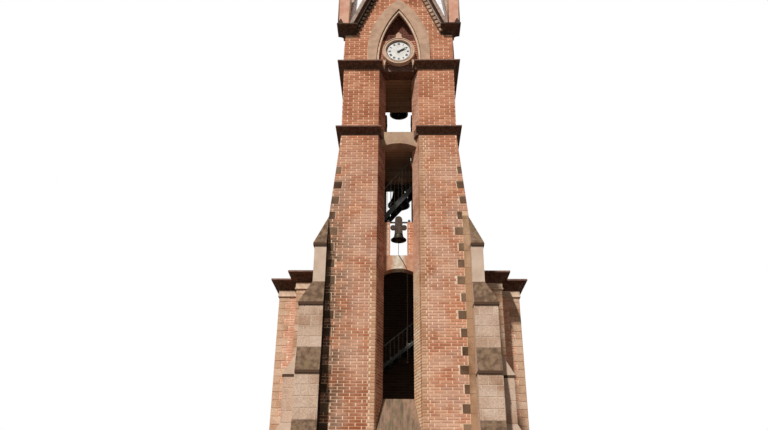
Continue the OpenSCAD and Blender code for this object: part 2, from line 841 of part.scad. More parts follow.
function unit(v) = v / norm(v);
function rope_dir(p, i) =
  unit(p[min(i + 1, len(p) - 1)] - p[max(i - 1, 0)]);
function rope_ring(p, i, r, n) =
  let (t = rope_dir(p, i), u = unit(cross(t, [1, 0, 0])), v = cross(t, u))
  [for (k = [0 : n - 1]) p[i] + r * (cos(360 * k / n) * u + sin(360 * k / n) * v)];

module bell_rope() {
  n = 8;
  p = rope_points;
  rings = [for (i = [0 : len(p) - 1]) each rope_ring(p, i, rope_d / 2, n)];
  last = (len(p) - 1) * n;
  color("#3a332c") polyhedron(rings, concat(
    [[for (k = [0 : n - 1]) k]],
    [for (i = [0 : len(p) - 2], k = [0 : n - 1])
      [i * n + k, (i + 1) * n + k, (i + 1) * n + (k + 1) % n, i * n + (k + 1) % n]],
    [[for (k = [n - 1 : -1 : 0]) last + k]]));
}

up_flight_gap = 300;
up_flight_w = 600;
up_flight_y = front + wall + stub_wall + up_flight_gap;

mid_bell_gap = 150;
mid_bell_y = up_flight_y + up_flight_w + mid_bell_gap + mid_bell_r;
mid_beam_z = mid_mouth_z + mid_bell_h;

top_bell_y = rear - 300;
top_beam_z = top_mouth_z + top_bell_h;

// Timber beam of the top bell, set into pockets in the rear gable
beam_h = 180;
module top_beam_box() {
  block([-panel_half - 80, top_bell_y - 90, top_beam_z],
        [panel_half + 80, top_bell_y + 90, top_beam_z + beam_h]);
}

// The middle bell over the stair and the top bell in the rear gable's arch
module fixed_bells() {
  color(bronze) {
    translate([0, mid_bell_y, mid_mouth_z]) {
      bell(mid_bell_r, mid_bell_h);
      clapper(mid_bell_r, mid_bell_h, 0);
    }
    translate([0, top_bell_y, top_mouth_z]) {
      bell(top_bell_r, top_bell_h);
      clapper(top_bell_r, top_bell_h, 0);
    }
  }
}

// Timber beams of the two fixed bells
module bell_beams() {
  color("#4a3b2e") {
    block([-chamber_half, mid_bell_y - 90, mid_beam_z],
          [chamber_half, mid_bell_y + 90, mid_beam_z + beam_h]);
    top_beam_box();
  }
}

tread_t = 30;
stringer_t = 30;
rail_t = 40;

// Treads, posts and handrail of a steel flight that rises to the right from x0 to x1
module flight_steps(x0, x1, z0, slope, y0, y1, depth, steps, rail) {
  run = (x1 - x0) / steps;
  for (i = [0 : steps - 1]) let (z = z0 + slope * (x0 + run * (i + 0.5)) + depth * 0.55)
    block([x0 + run * i, y0 + stringer_t, z], [x0 + run * (i + 0.95), y1 - stringer_t, z + tread_t]);
  posts = 6;
  for (i = [0 : posts]) let (x = x0 + 30 + (x1 - x0 - 60) * i / posts, z = z0 + slope * x)
    block([x - 12, y0 + 3, z + depth / 2], [x + 12, y0 + 27, z + rail]);
  front_prism([[x0, z0 + slope * x0 + rail - rail_t / 2], [x1, z0 + slope * x1 + rail - rail_t / 2],
               [x1, z0 + slope * x1 + rail + rail_t / 2], [x0, z0 + slope * x0 + rail + rail_t / 2]],
              y0, y0 + stringer_t);
}

// The two stringers of a flight, with any outline
module stringers(outline, y0, y1) {
  front_prism(outline, y0, y0 + stringer_t);
  front_prism(outline, y1 - stringer_t, y1);
}

low_flight_w = 700;
low_flight_back = 200;
low_flight_y = rear - wall - low_flight_back - low_flight_w;
low_flight_half = 750;
low_flight_z = 6175;
low_flight_slope = 0.80;
low_flight_depth = 110;
low_rail = 640;
up_flight_z = 10590;
up_flight_slope = 1.17;
up_flight_foot_z = 9480;
up_flight_depth = 210;
up_rail = 1090;
hatch_gap = 60;

module lower_flight() {
  a = low_flight_half;
  rise = low_flight_slope * a;
  color(iron) {
    stringers([[-a, low_flight_z - rise], [a, low_flight_z + rise],
               [a, low_flight_z + rise + low_flight_depth],
               [-a, low_flight_z - rise + low_flight_depth]],
              low_flight_y, low_flight_y + low_flight_w);
    flight_steps(-a, a, low_flight_z, low_flight_slope, low_flight_y,
                 low_flight_y + low_flight_w, low_flight_depth, 6, low_rail);
  }
}

// The steep flight stands on its landing and leans on the flank wall under the hatch
module upper_flight() {
  foot_x = (up_flight_foot_z - up_flight_z) / up_flight_slope;
  top_z = up_flight_z + up_flight_slope * chamber_half;
  color(iron) {
    stringers([[foot_x - up_flight_depth / up_flight_slope, up_flight_foot_z],
               [foot_x, up_flight_foot_z], [chamber_half, top_z],
               [chamber_half, top_z + up_flight_depth]],
              up_flight_y, up_flight_y + up_flight_w);
    flight_steps(foot_x, chamber_half, up_flight_z, up_flight_slope, up_flight_y,
                 up_flight_y + up_flight_w, up_flight_depth, 12, up_rail);
  }
}

landing_t = 80;
landing_lap = 100;
up_landing_x = 500;
module landings() {
  low_z = low_flight_z - low_flight_slope * low_flight_half + 100;
  high_z = low_flight_z + low_flight_slope * low_flight_half + 100;
  color("#4a4a4c") {
    block([-chamber_half, low_flight_y, low_z - landing_t], [-low_flight_half, rear - wall, low_z]);
    block([low_flight_half, low_flight_y, high_z - landing_t], [chamber_half, rear - wall, high_z]);
    block([-chamber_half, up_flight_y - landing_lap, up_flight_foot_z - landing_t],
          [-up_landing_x, up_flight_y + up_flight_w + landing_lap, up_flight_foot_z]);
  }
}

inner_y = rear - inner_lap;
outer_y = inner_y + outer_setback;
party_y = outer_y + nave_depth;
nave_wall_top = nave_top_z - nave_cornice_h;
cornice_seat = 300;
roof_t = 160;

// Right-hand walls of the nave front: inner block, outer block and the side return
module nave_walls() {
  inside = party_y - nave_wall;
  color(brick) both_sides() linear_extrude(nave_wall_top)
    polygon([[shaft_half, inner_y], [inner_half, inner_y], [inner_half, outer_y],
             [outer_half, outer_y], [outer_half, inside], [outer_half - nave_wall, inside],
             [outer_half - nave_wall, outer_y + nave_wall],
             [inner_half - nave_wall, outer_y + nave_wall],
             [inner_half - nave_wall, inner_y + nave_wall], [shaft_half, inner_y + nave_wall]]);
}

// Plain wall that closes the nave front where the rest of the building would go on
module party_wall() {
  color("#a8684e")
    block([-outer_half, party_y - nave_wall, 0], [outer_half, party_y, nave_wall_top]);
}

// Right-hand half of the roof slab in plan, inside the cornice and up to the tower
function roof_plan() =
  let (s = cornice_seat)
  [[shaft_half, rear], [shaft_half, inner_y + s], [inner_half - s, inner_y + s],
   [inner_half - s, outer_y + s], [outer_half - s, outer_y + s], [outer_half - s, party_y]];

module nave_roof_plan() {
  p = roof_plan();
  polygon(concat(p, [for (i = [len(p) - 1 : -1 : 0]) [-p[i][0], p[i][1]]]));
}

module nave_roof() {
  color("#7c6a5e") translate([0, 0, nave_wall_top]) linear_extrude(roof_t) nave_roof_plan();
}

// A block's cornice: mitred at its front corner and running back to the party wall
module cornice_block(half, y) {
  p = cornice_profile(nave_cornice_out, nave_cornice_h);
  intersection() {
    front_prism(concat([[0, nave_wall_top]], [for (q = p) [half + q[0], nave_wall_top + q[1]]],
                       [[0, nave_top_z]]),
                y - nave_cornice_out, party_y);
    side_prism(concat([for (q = p) [y - q[0], nave_wall_top + q[1]]],
                      [[party_y, nave_top_z], [party_y, nave_wall_top]]),
               0, half + nave_cornice_out);
  }
}

module nave_cornice() {
  color(dark_stone) both_sides() difference() {
    union() {
      cornice_block(inner_half, inner_y);
      cornice_block(outer_half, outer_y);
    }
    translate([0, 0, nave_wall_top - 1]) linear_extrude(nave_cornice_h + 2)
      nave_roof_plan();
    block([-1, front, 0], [shaft_half, rear, nave_top_z + 1]);
  }
}

ground_floor();
front_piers();
flank_walls();
rear_piers();
door_infill();
stone_sill();
inner_piers();
bell_ledge();
rear_infill();
ringing_floor();
slot_arches();
buttresses();
low_cornice();
belfry_floor();
belfry_piers();
belfry_walls();
clock_floor();
top_cornice();
front_gable();
rear_gable();
side_gables();
gable_frames();
gable_panels();
clock_ring();
clock_dial();
minute_hand();
hour_hand();
kneelers();
gable_copings();
pinnacles();
spire();
spire_finial();
low_bell();
low_bell_yoke();
bearings();
bell_rope();
fixed_bells();
bell_beams();
lower_flight();
upper_flight();
landings();
nave_walls();
party_wall();
nave_roof();
nave_cornice();
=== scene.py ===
# A brick bell tower with stepped stone buttresses, three bells, a clock and a tall spire, with its
# bricks, mouldings and weathered stone. Metres, +Z up, and the front looks along -Y.
import bpy
import numpy as np
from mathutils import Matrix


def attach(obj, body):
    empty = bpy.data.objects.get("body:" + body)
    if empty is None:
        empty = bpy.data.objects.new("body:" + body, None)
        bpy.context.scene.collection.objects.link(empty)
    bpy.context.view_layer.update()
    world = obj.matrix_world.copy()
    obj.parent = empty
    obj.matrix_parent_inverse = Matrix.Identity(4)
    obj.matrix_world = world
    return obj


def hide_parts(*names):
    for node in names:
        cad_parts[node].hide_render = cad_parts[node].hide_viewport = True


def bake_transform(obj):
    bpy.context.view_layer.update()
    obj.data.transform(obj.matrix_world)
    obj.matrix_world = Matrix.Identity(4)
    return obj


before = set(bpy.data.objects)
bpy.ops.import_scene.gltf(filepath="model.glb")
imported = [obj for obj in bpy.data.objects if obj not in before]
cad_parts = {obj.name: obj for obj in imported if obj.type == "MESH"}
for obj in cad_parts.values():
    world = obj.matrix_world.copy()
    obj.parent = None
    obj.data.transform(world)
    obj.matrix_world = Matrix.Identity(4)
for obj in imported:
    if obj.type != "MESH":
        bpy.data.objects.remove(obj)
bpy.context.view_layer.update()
scene = bpy.context.scene

# Camera: at the height of a person's eyes, 19.1 m in front of the tower's axis. It looks up at the
# swinging bell, so that upright edges draw together, through a 32 mm lens on a frame 36 mm wide.
lens = bpy.data.cameras.new("camera")
lens.sensor_width = 36.0
lens.lens = 32.08
camera = bpy.data.objects.new("camera", lens)
camera.location = (0.046, -19.096, 1.6)
camera.rotation_euler = np.radians([115.003, -0.563, 1.237])
scene.collection.objects.link(camera)
scene.camera = camera

# Ringing rope: laid hemp, 14 mm thick, tied to the tail of the clapper. It drops over the ledge and
# hangs in the ringing chamber, where it ends in a knot within reach of the hand.
rope_radius = 0.007
rope_route = np.array([
    [0.000, -0.950, 9.195], [0.000, -0.975, 9.110], [-0.003, -1.040, 8.960], [-0.006, -1.110, 8.815],
    [0.000, -1.124, 8.750], [0.055, -1.122, 8.660], [0.120, -1.120, 8.550], [0.180, -1.120, 8.430],
    [0.222, -1.118, 8.330], [0.238, -1.108, 8.240], [0.243, -1.080, 8.090], [0.244, -1.020, 7.900],
    [0.244, -0.950, 7.650], [0.244, -0.880, 7.350], [0.244, -0.830, 7.000], [0.244, -0.800, 6.600],
    [0.244, -0.790, 6.200], [0.244, -0.785, 5.800]])
knot_radius = 0.022
knot_drop = 0.02


def linear(code):
    """The linear RGBA that a shader takes, from a colour written as sRGB hex."""
    rgb = np.array([int(code[i:i + 2], 16) for i in (1, 3, 5)]) / 255
    rgb = np.where(rgb <= 0.04045, rgb / 12.92, ((rgb + 0.055) / 1.055) ** 2.4)
    return (*rgb.tolist(), 1.0)


def add(tree, kind, inputs=None, **settings):
    """One new node: settings go on the node, and an input gets a constant, a colour as hex or a
    socket to link."""
    node = tree.nodes.new("ShaderNode" + kind)
    for name, value in settings.items():
        setattr(node, name, value)
    for key, value in (inputs or {}).items():
        if isinstance(value, bpy.types.NodeSocket):
            tree.links.new(value, node.inputs[key])
        else:
            node.inputs[key].default_value = linear(value) if isinstance(value, str) else value
    return node


def maths(tree, operation, *values):
    return add(tree, "Math", dict(enumerate(values)), operation=operation).outputs[0]


def ranged(tree, value, low, high, top=1.0):
    """0 where the value is at low, top where it is at high, and in proportion between them."""
    limits = {"Value": value, "From Min": low, "From Max": high, "To Max": top}
    return add(tree, "MapRange", limits).outputs[0]


def blend(tree, share, first, second, way="MIX"):
    """The first colour where the share is 0 and the second where it is 1, or by way their product."""
    return add(tree, "Mix", {0: share, 6: first, 7: second}, data_type="RGBA",
               blend_type=way).outputs[2]


def shader_of(tree):
    return tree.nodes["Principled BSDF"]


def place_of(tree):
    """The Object coordinates, at the node that finish makes for them."""
    return tree.nodes["place"].outputs["Object"]


def axes_of(tree, vector=None):
    return add(tree, "SeparateXYZ", {0: vector or place_of(tree)}).outputs


def noise_of(tree, size, detail, place=None):
    return add(tree, "TexNoise", {"Vector": place or place_of(tree), "Scale": 1 / size,
                                  "Detail": detail}).outputs["Fac"]


def finish(name, roughness, specular=0.3):
    """A new material and its node tree."""
    material = bpy.data.materials.new(name)
    material.use_nodes = True
    tree = material.node_tree
    shader_of(tree).inputs["Roughness"].default_value = roughness
    shader_of(tree).inputs["Specular IOR Level"].default_value = specular
    add(tree, "TexCoord", name="place")
    return material, tree


def mottle(tree, first, second, size, low=0.38, high=0.62, place=None):
    """Two colours in blotches of noise about `size` metres across."""
    return blend(tree, ranged(tree, noise_of(tree, size, 4.0, place), low, high), first, second)


def colour(tree, socket):
    tree.links.new(socket, shader_of(tree).inputs["Base Color"])


def dress(tree, socket, grain, depth, place=None):
    """Base colour, and bumps of noise: grains `grain` metres across and `depth` metres deep."""
    colour(tree, socket)
    bump = add(tree, "Bump", {"Height": noise_of(tree, grain, 5.0, place), "Distance": depth,
                              "Strength": 1.0})
    tree.links.new(bump.outputs["Normal"], shader_of(tree).inputs["Normal"])


def rubbed(name, first, second, size=0.12, rough=0.9, specular=0.15, grain=0.015, depth=0.003,
           spots=None):
    """A surface with fine pores, in two colours that run into each other. By default it is stone.
    Spots are a third colour, its size, and the two values of the noise between which it sets in."""
    material, tree = finish(name, rough, specular)
    mixed = mottle(tree, first, second, size)
    dress(tree, mottle(tree, mixed, *spots) if spots else mixed, grain, depth)
    return material


def unit(vectors):
    return vectors / np.linalg.norm(vectors, axis=-1, keepdims=True)


def outward(points, faces):
    """The same closed mesh, its faces turned round where its signed volume is negative."""
    a, b, c, d = (points[faces[:, i]] for i in range(4))
    volume = np.sum(a * np.cross(b, c)) + np.sum(a * np.cross(c, d))
    return points, faces if volume > 0 else faces[:, ::-1]


def lattice(rings, sides, closed):
    """Quads from each ring of points to the next, and a lid on both ends unless it is closed."""
    i = np.arange(rings if closed else rings - 1)[:, None]
    j = np.arange(sides)[None, :]
    over, ahead = (j + 1) % sides, (i + 1) % rings
    faces = np.stack([i * sides + j, i * sides + over, ahead * sides + over, ahead * sides + j],
                     -1).reshape(-1, 4)
    if closed:
        return faces
    k = np.arange(sides // 2 - 1)
    lid = np.stack([k, k + 1, sides - 2 - k, sides - 1 - k], -1)
    return np.vstack([faces, lid[:, ::-1], lid + (rings - 1) * sides])


def tube(path, radius, sides=10, closed=False):
    """A round tube: at each point of the path a circle stands square to the path's direction."""
    ahead = np.roll(path, -1, 0) if closed else np.vstack([path[1:], 2 * path[-1] - path[-2]])
    behind = np.roll(path, 1, 0) if closed else np.vstack([2 * path[0] - path[1], path[:-1]])
    way = unit(ahead - behind)
    side = unit(np.cross(way, [0.31, 0.53, 0.79]))
    turn = 2 * np.pi * np.arange(sides) / sides
    ring = np.cos(turn)[:, None] * side[:, None] + np.sin(turn)[:, None] * np.cross(way, side)[:, None]
    return outward((path[:, None] + radius * ring).reshape(-1, 3), lattice(len(path), sides, closed))


def piece(name, part, material, body="tower", per_block=0, smooth=False):
    """A new object from a part's points and quads. It rides on a body, and where per_block is the
    number of points in a block, each block gets a random number from 0 to 1, named fired."""
    points, faces = part
    mesh = bpy.data.meshes.new(name)
    mesh.vertices.add(len(points))
    mesh.vertices.foreach_set("co", points.astype(np.float32).ravel())
    mesh.loops.add(faces.size)
    mesh.loops.foreach_set("vertex_index", faces.astype(np.int32).ravel())
    mesh.polygons.add(len(faces))
    mesh.polygons.foreach_set("loop_start", np.arange(0, faces.size, 4, dtype=np.int32))
    mesh.polygons.foreach_set("use_smooth", np.full(len(faces), smooth))
    mesh.update(calc_edges=True)
    if per_block:
        fired = np.random.default_rng(len(points)).random(len(points) // per_block)
        values = np.repeat(fired, per_block).astype(np.float32)
        mesh.attributes.new("fired", "FLOAT", "POINT").data.foreach_set("value", values)
    mesh.materials.append(material)
    made = bpy.data.objects.new(name, mesh)
    scene.collection.objects.link(made)
    if body:
        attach(made, body)
    return made


def masonry(name, part, material):
    """A piece of blocks, which have eight points each."""
    piece(name, part, material, per_block=8)


hemp, tree = finish("laid_hemp", 0.85)
# Strands of a laid rope wind round it about every 80 mm
strands = add(tree, "TexWave", {"Vector": place_of(tree), "Scale": 8.0, "Distortion": 1.0},
              bands_direction="DIAGONAL")
dress(tree, blend(tree, strands.outputs["Fac"], "#1d1612", "#3d2f24"), 0.004, 0.001)


def through(points, steps):
    """A smooth line through the points: between two of them it is the cubic whose end slopes are
    half the way from the point before to the point after (Catmull and Rom)."""
    ends = np.vstack([2 * points[0] - points[1], points, 2 * points[-1] - points[-2]])
    p0, p1, p2, p3 = (ends[i:len(ends) - 3 + i, None] for i in range(4))
    t = np.arange(steps)[None, :, None] / steps
    line = 0.5 * (2 * p1 + (p2 - p0) * t + (2 * p0 - 5 * p1 + 4 * p2 - p3) * t ** 2
                  + (3 * p1 - p0 - 3 * p2 + p3) * t ** 3)
    return np.vstack([line.reshape(-1, 3), points[-1:]])


rope_line = through(rope_route, 6)
ringing_rope = piece("ringing_rope", tube(rope_line, rope_radius, 12), hemp, None, smooth=True)
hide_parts("bell_rope")
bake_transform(ringing_rope)

t = np.linspace(0, 2 * np.pi, 60, endpoint=False)
knot_line = rope_route[-1] - [0, 0, knot_drop] + knot_radius / 3 * np.stack(
    [np.sin(t) + 2 * np.sin(2 * t), np.cos(t) - 2 * np.cos(2 * t), -2 * np.sin(3 * t)], -1)
rope_knot = piece("rope_knot", tube(knot_line, rope_radius, 10, closed=True), hemp, smooth=True)

# Brickwork of the shaft: hand-made clay bricks, 291 by 62 mm, in running bond. Upright joints are wide
# and full of pale lime. Beds are raked 8 mm deep, so that their upper half lies in shadow.
shaft_half = 1.95
belfry_half = 1.70
front = -1.70
wall = 0.60
slot_half = 0.606
throat_half = 0.415
batter_z = 9.70
low_cornice_z = 12.33
rear_low = 9.04
sill_front_z = 3.70
sill_back_z = 4.76
brick_course = 0.08
brick_length = 0.291
brick_joint = 0.024
brick_bed = 0.018
brick_proud = 0.008
tooth_courses = 6
edge_band = 0.17
tooth = 0.17
tooth_top = 11.40
left_more = 0.03
ochre_top = 8.16
header_short = 0.11
header_long = 0.17
reveal_low = 3.76
x_way, y_way, z_way = (1, 0, 0), (0, 1, 0), (0, 0, 1)
to_left, to_back = [-1, 1, 1], [1, -1, 1]


def joined(*parts):
    """Several meshes as one: the faces of each count on from the points before it."""
    start = np.cumsum([0] + [len(points) for points, _ in parts[:-1]])
    return (np.concatenate([points for points, _ in parts]),
            np.concatenate([faces + s for (_, faces), s in zip(parts, start)]))


def mirrored(part, way):
    """The part on the other side of the tower: way has -1 for the axis along which it is turned."""
    return part[0] * way, part[1][:, ::-1]


def with_left(part):
    return joined(part, mirrored(part, to_left))


def with_back(part):
    return joined(part, mirrored(part, to_back))


def turned(part):
    """The part turned a quarter about the tower's axis, from the front to the right-hand flank."""
    points, faces = part
    return np.stack([-points[:, 1], points[:, 0], points[:, 2]], -1), faces


def outlined(s0, s1, s2, s3, low, high):
    """Outlines of blocks, round from the lower left: s0 and s1 lie at low, s2 and s3 at high."""
    corners = np.broadcast_arrays(s0, s1, s2, s3, low, low, high, high)
    return np.stack([np.stack(corners[:4], -1), np.stack(corners[4:], -1)], -1)


def coursed(left, right, bottom, top, course, length, joint, shift=0.0, bed=None):
    """Outlines of blocks in bond. Course k lies between bottom + k * course and the next, less half
    a bed at each. A block starts at every length + joint, moved on by the share `shift` of that and,
    in odd courses, by half of it. The wall's edges, left and right, are numbers or functions of z,
    and cut the blocks to fit."""
    bed = joint if bed is None else bed
    k = np.arange(int(round((top - bottom) / course)))[:, None]
    low = bottom + k * course + bed / 2
    high = low + course - bed
    pitch = length + joint
    edges = [(f(z) if callable(f) else f) + 0 * z for f in (left, right) for z in (low, high)]
    start, end = min(edges[0].min(), edges[1].min()), max(edges[2].max(), edges[3].max())
    j = np.arange(int((end - start) / pitch) + 3)[None, :]
    a = start + (j - 1 + shift % 1 + 0.5 * (k % 2)) * pitch - pitch / 2
    b = a + length
    found = outlined(np.maximum(a, edges[0]), np.minimum(b, edges[2]), np.minimum(b, edges[3]),
                     np.maximum(a, edges[1]), low, high)
    s = found[..., 0]
    return found[(s[..., 1] - s[..., 0] > 0.03) & (s[..., 2] - s[..., 3] > 0.02)]


def laid(outlines, origin, along, up, proud, sink=0.004, inset=0.002):
    """Closed blocks on a wall: a corner (s, z) lies at origin + s along + z up, and is moved along
    the wall's normal, along × up, by proud outside and by -sink inside. The outer face is drawn in
    by inset, which rounds the block's edges."""
    along, up = np.array(along, float), np.array(up, float)
    normal = unit(np.cross(along, up))
    middle = outlines.mean(axis=1, keepdims=True)
    outer = outlines + inset * np.sign(middle - outlines)
    place = [np.array(origin) + q[..., :1] * along + q[..., 1:] * up + depth * normal
             for q, depth in ((outer, proud), (outlines, -sink))]
    points = np.concatenate(place, axis=1)
    block = np.array([[0, 1, 2, 3], [7, 6, 5, 4], [0, 4, 5, 1], [1, 5, 6, 2], [2, 6, 7, 3],
                      [3, 7, 4, 0]])
    faces = block + 8 * np.arange(len(points))[:, None, None]
    return points.reshape(-1, 3), faces.reshape(-1, 4)


def bricks(left, right, bottom, top, shift=0.0):
    return coursed(left, right, bottom, top, brick_course, brick_length, brick_joint, shift, brick_bed)


def wall_bricks(left, right, bottom, top, origin, along, up=z_way, shift=0.0):
    return laid(bricks(left, right, bottom, top, shift), origin, along, up, brick_proud)


def front_bricks(left, right, bottom, top):
    return wall_bricks(left, right, bottom, top, (0, front, 0), x_way)


def shaft_edge(z):
    """Half width of the shaft: upright to the batter, then leaning in to the belfry's half width."""
    return np.interp(z, [batter_z, low_cornice_z], [shaft_half, belfry_half])


def course_at(z):
    return np.floor(z / brick_course + 0.01)


def toothed(z):
    """1 in the lower three of each six courses, where a long stone bonds into the bricks."""
    return (course_at(z) % tooth_courses < tooth_courses / 2) & (z < tooth_top)


def right_quoin(z):
    return slot_half + np.where(course_at(z) % 2 == 1, header_long, header_short) + brick_joint


def left_quoin(z):
    return np.where(z < ochre_top, right_quoin(z), slot_half)


def tooth_reach(z):
    """How far a long stone reaches in: from 0.7 to 1.3 of the tooth, by the number of its group."""
    group = np.floor(z / (tooth_courses * brick_course) + 0.002)
    return tooth * (1.0 + 0.3 * np.sin(2.4 * group))


def right_field(z):
    band = np.where(z < batter_z, edge_band + brick_bed, 0)
    return shaft_edge(z) - band - np.where(toothed(z), tooth_reach(z) + brick_bed, 0)


def left_field(z):
    return shaft_edge(z) - np.where(toothed(z), tooth_reach(z) + left_more + brick_bed, 0)


def reveal_foot(z):
    """How far from the back of the reveal the sill's slope meets height z."""
    return np.clip((sill_back_z - z) / (sill_back_z - sill_front_z), 0, 1) * reveal_length


reveal_length = np.hypot(wall, slot_half - throat_half)
reveal_way = np.array([slot_half - throat_half, -wall, 0]) / reveal_length
lean = (shaft_half - belfry_half) / (low_cornice_z - batter_z)


def clay(name, dark, middle, light, shade):
    """Fired clay: each brick takes its colour from its random number, and soot lies in clouds."""
    material, tree = finish(name, 0.92, 0.15)
    fired = add(tree, "Attribute", attribute_name="fired").outputs["Fac"]
    burn = add(tree, "ValToRGB", {"Fac": fired})
    burn.color_ramp.elements[0].color = linear(dark)
    burn.color_ramp.elements[1].color = linear(light)
    burn.color_ramp.elements.new(0.5).color = linear(middle)
    # Clouds of soot about 0.7 m across, and sandy faces with pits a few centimetres apart
    soot = mottle(tree, "#ffffff", shade, 0.7, 0.45, 0.75)
    sand = mottle(tree, "#ffffff", "#e6ddd4", 0.03)
    under_sand = blend(tree, 1.0, burn.outputs["Color"], soot, "MULTIPLY")
    dress(tree, blend(tree, 1.0, under_sand, sand, "MULTIPLY"), 0.012, 0.004)
    return material


def stained(material, low, high, edges, amount, tint, size):
    """A tint in blotches on a material. Its share grows from 0 to `amount` as z falls from `high` to
    `low`, and also as x runs from the first of the two `edges` to the second."""
    tree = material.node_tree
    bare = shader_of(tree).inputs["Base Color"].links[0].from_socket
    axes = axes_of(tree)
    where = maths(tree, "MULTIPLY", ranged(tree, axes["Z"], high, low), ranged(tree, axes["X"], *edges))
    cloud = ranged(tree, noise_of(tree, size, 6.0), 0.38, 0.58, amount)
    colour(tree, blend(tree, maths(tree, "MULTIPLY", where, cloud), bare, tint))


def mortared(name, mortar, brick, second, joint, everywhere=False):
    """Lime mortar on the outer faces, where the bricks are laid as blocks, with a slightly darker tone
    in the beds. On the inner faces, painted dark brown as painted shade for the inside of the tower,
    the bond is a pattern of 315 by 80 mm on x + y and z, as walls run along x or y."""
    material, tree = finish(name, 0.95, 0.1)
    axes = axes_of(tree)
    flat = add(tree, "CombineXYZ", {0: maths(tree, "ADD", axes["X"], axes["Y"]), 1: axes["Z"]})
    bond = add(tree, "TexBrick", {"Vector": flat.outputs[0], "Color1": brick, "Color2": second,
                                  "Mortar": joint, "Scale": 1.0, "Mortar Size": 0.007,
                                  "Brick Width": brick_length + brick_joint,
                                  "Row Height": brick_course})
    lime = mottle(tree, mortar, "#dfb998", 0.25)
    height = maths(tree, "FRACT", maths(tree, "MULTIPLY_ADD", axes["Z"], 1 / brick_course, 0.5))
    bed = blend(tree, maths(tree, "COMPARE", height, 0.5, 0.12), lime, "#e6bd9b")
    # The inner faces of the tower take the dark colours: painted shade
    inner_shade = maths(tree, "MULTIPLY", maths(tree, "COMPARE", axes["X"], 0.0, 1.16),
                   maths(tree, "COMPARE", axes["Y"], 0.005, 1.10))
    both = blend(tree, 1.0 if everywhere else inner_shade, bed, bond.outputs["Color"])
    dress(tree, both, 0.01, 0.003)
    return material


def coat(material, *nodes):
    """Puts a material on solids of the frame, in place of the plain one they come with."""
    for name in nodes:
        for place_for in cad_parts[name].material_slots:
            place_for.material = material


clay_brick = clay("hand_made_clay_brick", "#c67f5e", "#d7926f", "#e9ad8a", "#d6beae")
# Lime bloom lies over the bricks in clouds, iron-brown stains over the left pier's lowest metres, and
# soot and lichen creep in from the left edge
stained(clay_brick, 11.0, 13.0, (5.0, 4.0), 0.30, "#f0dac4", 0.60)
stained(clay_brick, 3.8, 7.2, (0.6, -0.6), 0.9, "#9c5430", 0.45)
stained(clay_brick, 8.5, 11.5, (-1.15, -1.75), 0.95, "#5f4a37", 0.30)
# The last three colours are dark browns, painted shade for the inner faces of the tower
mortar_wall = mortared("lime_mortar_wall", "#fcdcbd", "#6a5244", "#5a4438", "#766456")
coat(mortar_wall, "front_piers", "flank_walls", "rear_piers", "door_infill", "inner_piers",
     "rear_infill", "belfry_piers", "belfry_walls", "front_gable", "rear_gable", "side_gables",
     "nave_walls")

front_plane = ((0, front, 0), x_way, z_way)
right_pier = front_bricks(right_quoin, right_field, 0.0, low_cornice_z)
left_pier = front_bricks(left_quoin, left_field, 0.0, low_cornice_z)
rear_pier = front_bricks(slot_half, left_field, rear_low, low_cornice_z)
masonry("front_pier_bricks", joined(right_pier, mirrored(left_pier, to_left)), clay_brick)
masonry("rear_pier_bricks", with_left(mirrored(rear_pier, to_back)), clay_brick)

# Flanks of the shaft: the same bricks, upright between the buttress and the nave front, and leaning
# with the batter over the nave's roof.
flank_depth = 0.90
lean_low = 9.68
inner_y = 1.35
flank_low = wall_bricks(front + flank_depth, lambda z: np.where(z < rear_low, inner_y, -front), 0.0,
                        lean_low, (shaft_half, 0, 0), y_way)
flank_high = wall_bricks(front, -front, lean_low, low_cornice_z, (shaft_half + lean * batter_z, 0, 0),
                         y_way, (-lean, 0, 1))
masonry("flank_bricks", with_left(joined(flank_low, flank_high)), clay_brick)

# Reveals of the slot: on the left the same bricks, painted darker as painted shade. On the right soft
# ochre ones low down, and further up pink ones, both painted paler as painted sunlight.
shade_darkened_brick = clay("painted_shade_reveal_brick", "#a87060", "#bd8674", "#d0a08d", "#b8a498")
ochre_brick = clay("ochre_clay_brick", "#f8d4b0", "#ffdfbb", "#ffeace", "#f2dfca")
sun_paled_brick = clay("painted_sunlight_reveal_brick", "#eab498", "#f2c2a6", "#fad0b8", "#d8c0b0")
reveal_end = reveal_length - 0.12


def left_end(z):
    return np.where(z < ochre_top, reveal_end, reveal_length)


def reveal(near, far, bottom, top):
    """Bricks on the right reveal, between two distances from its back."""
    return wall_bricks(near, far, bottom, top, (throat_half, front + wall, 0), reveal_way, shift=0.3)


left_reveal = reveal(reveal_foot, left_end, reveal_low, low_cornice_z)
high_reveal = reveal(0.0, reveal_length, rear_low, low_cornice_z)
masonry("left_reveal_bricks", joined(mirrored(left_reveal, to_left),
                                     with_left(mirrored(high_reveal, to_back))), shade_darkened_brick)
masonry("right_reveal_ochre", reveal(reveal_foot, reveal_end, reveal_low, ochre_top), ochre_brick)
masonry("right_reveal_bricks", reveal(0.0, reveal_end, ochre_top, low_cornice_z), sun_paled_brick)

# Ochre headers on the edges of the slot: paler, softer bricks, one to a course, long and short in
# turn. Their other face shows on the reveal. The left pier has them only beside the lower opening.
header_proud = brick_proud + 0.001


def header_outlines(bottom, top, widths, course=brick_course, joint=brick_bed):
    """One block to a course from 0 to the width, which takes the given values in turn."""
    k = np.arange(int(round((top - bottom) / course)))
    low = bottom + k * course + joint / 2
    width = np.array(widths)[(k + int(round(bottom / course))) % len(widths)]
    return outlined(0, width, width, 0, low, low + course - joint)


def edge_headers(bottom, top):
    """The headers of one pier: their face on the front, and their end on the reveal."""
    edge = np.array([slot_half, front, 0])
    face = laid(header_outlines(bottom, top, (header_short, header_long)), edge, x_way, z_way,
                header_proud)
    end = laid(header_outlines(bottom, top, (header_short - 0.003,)), edge - header_short * reveal_way,
               reveal_way, z_way, header_proud)
    return joined(face, end)


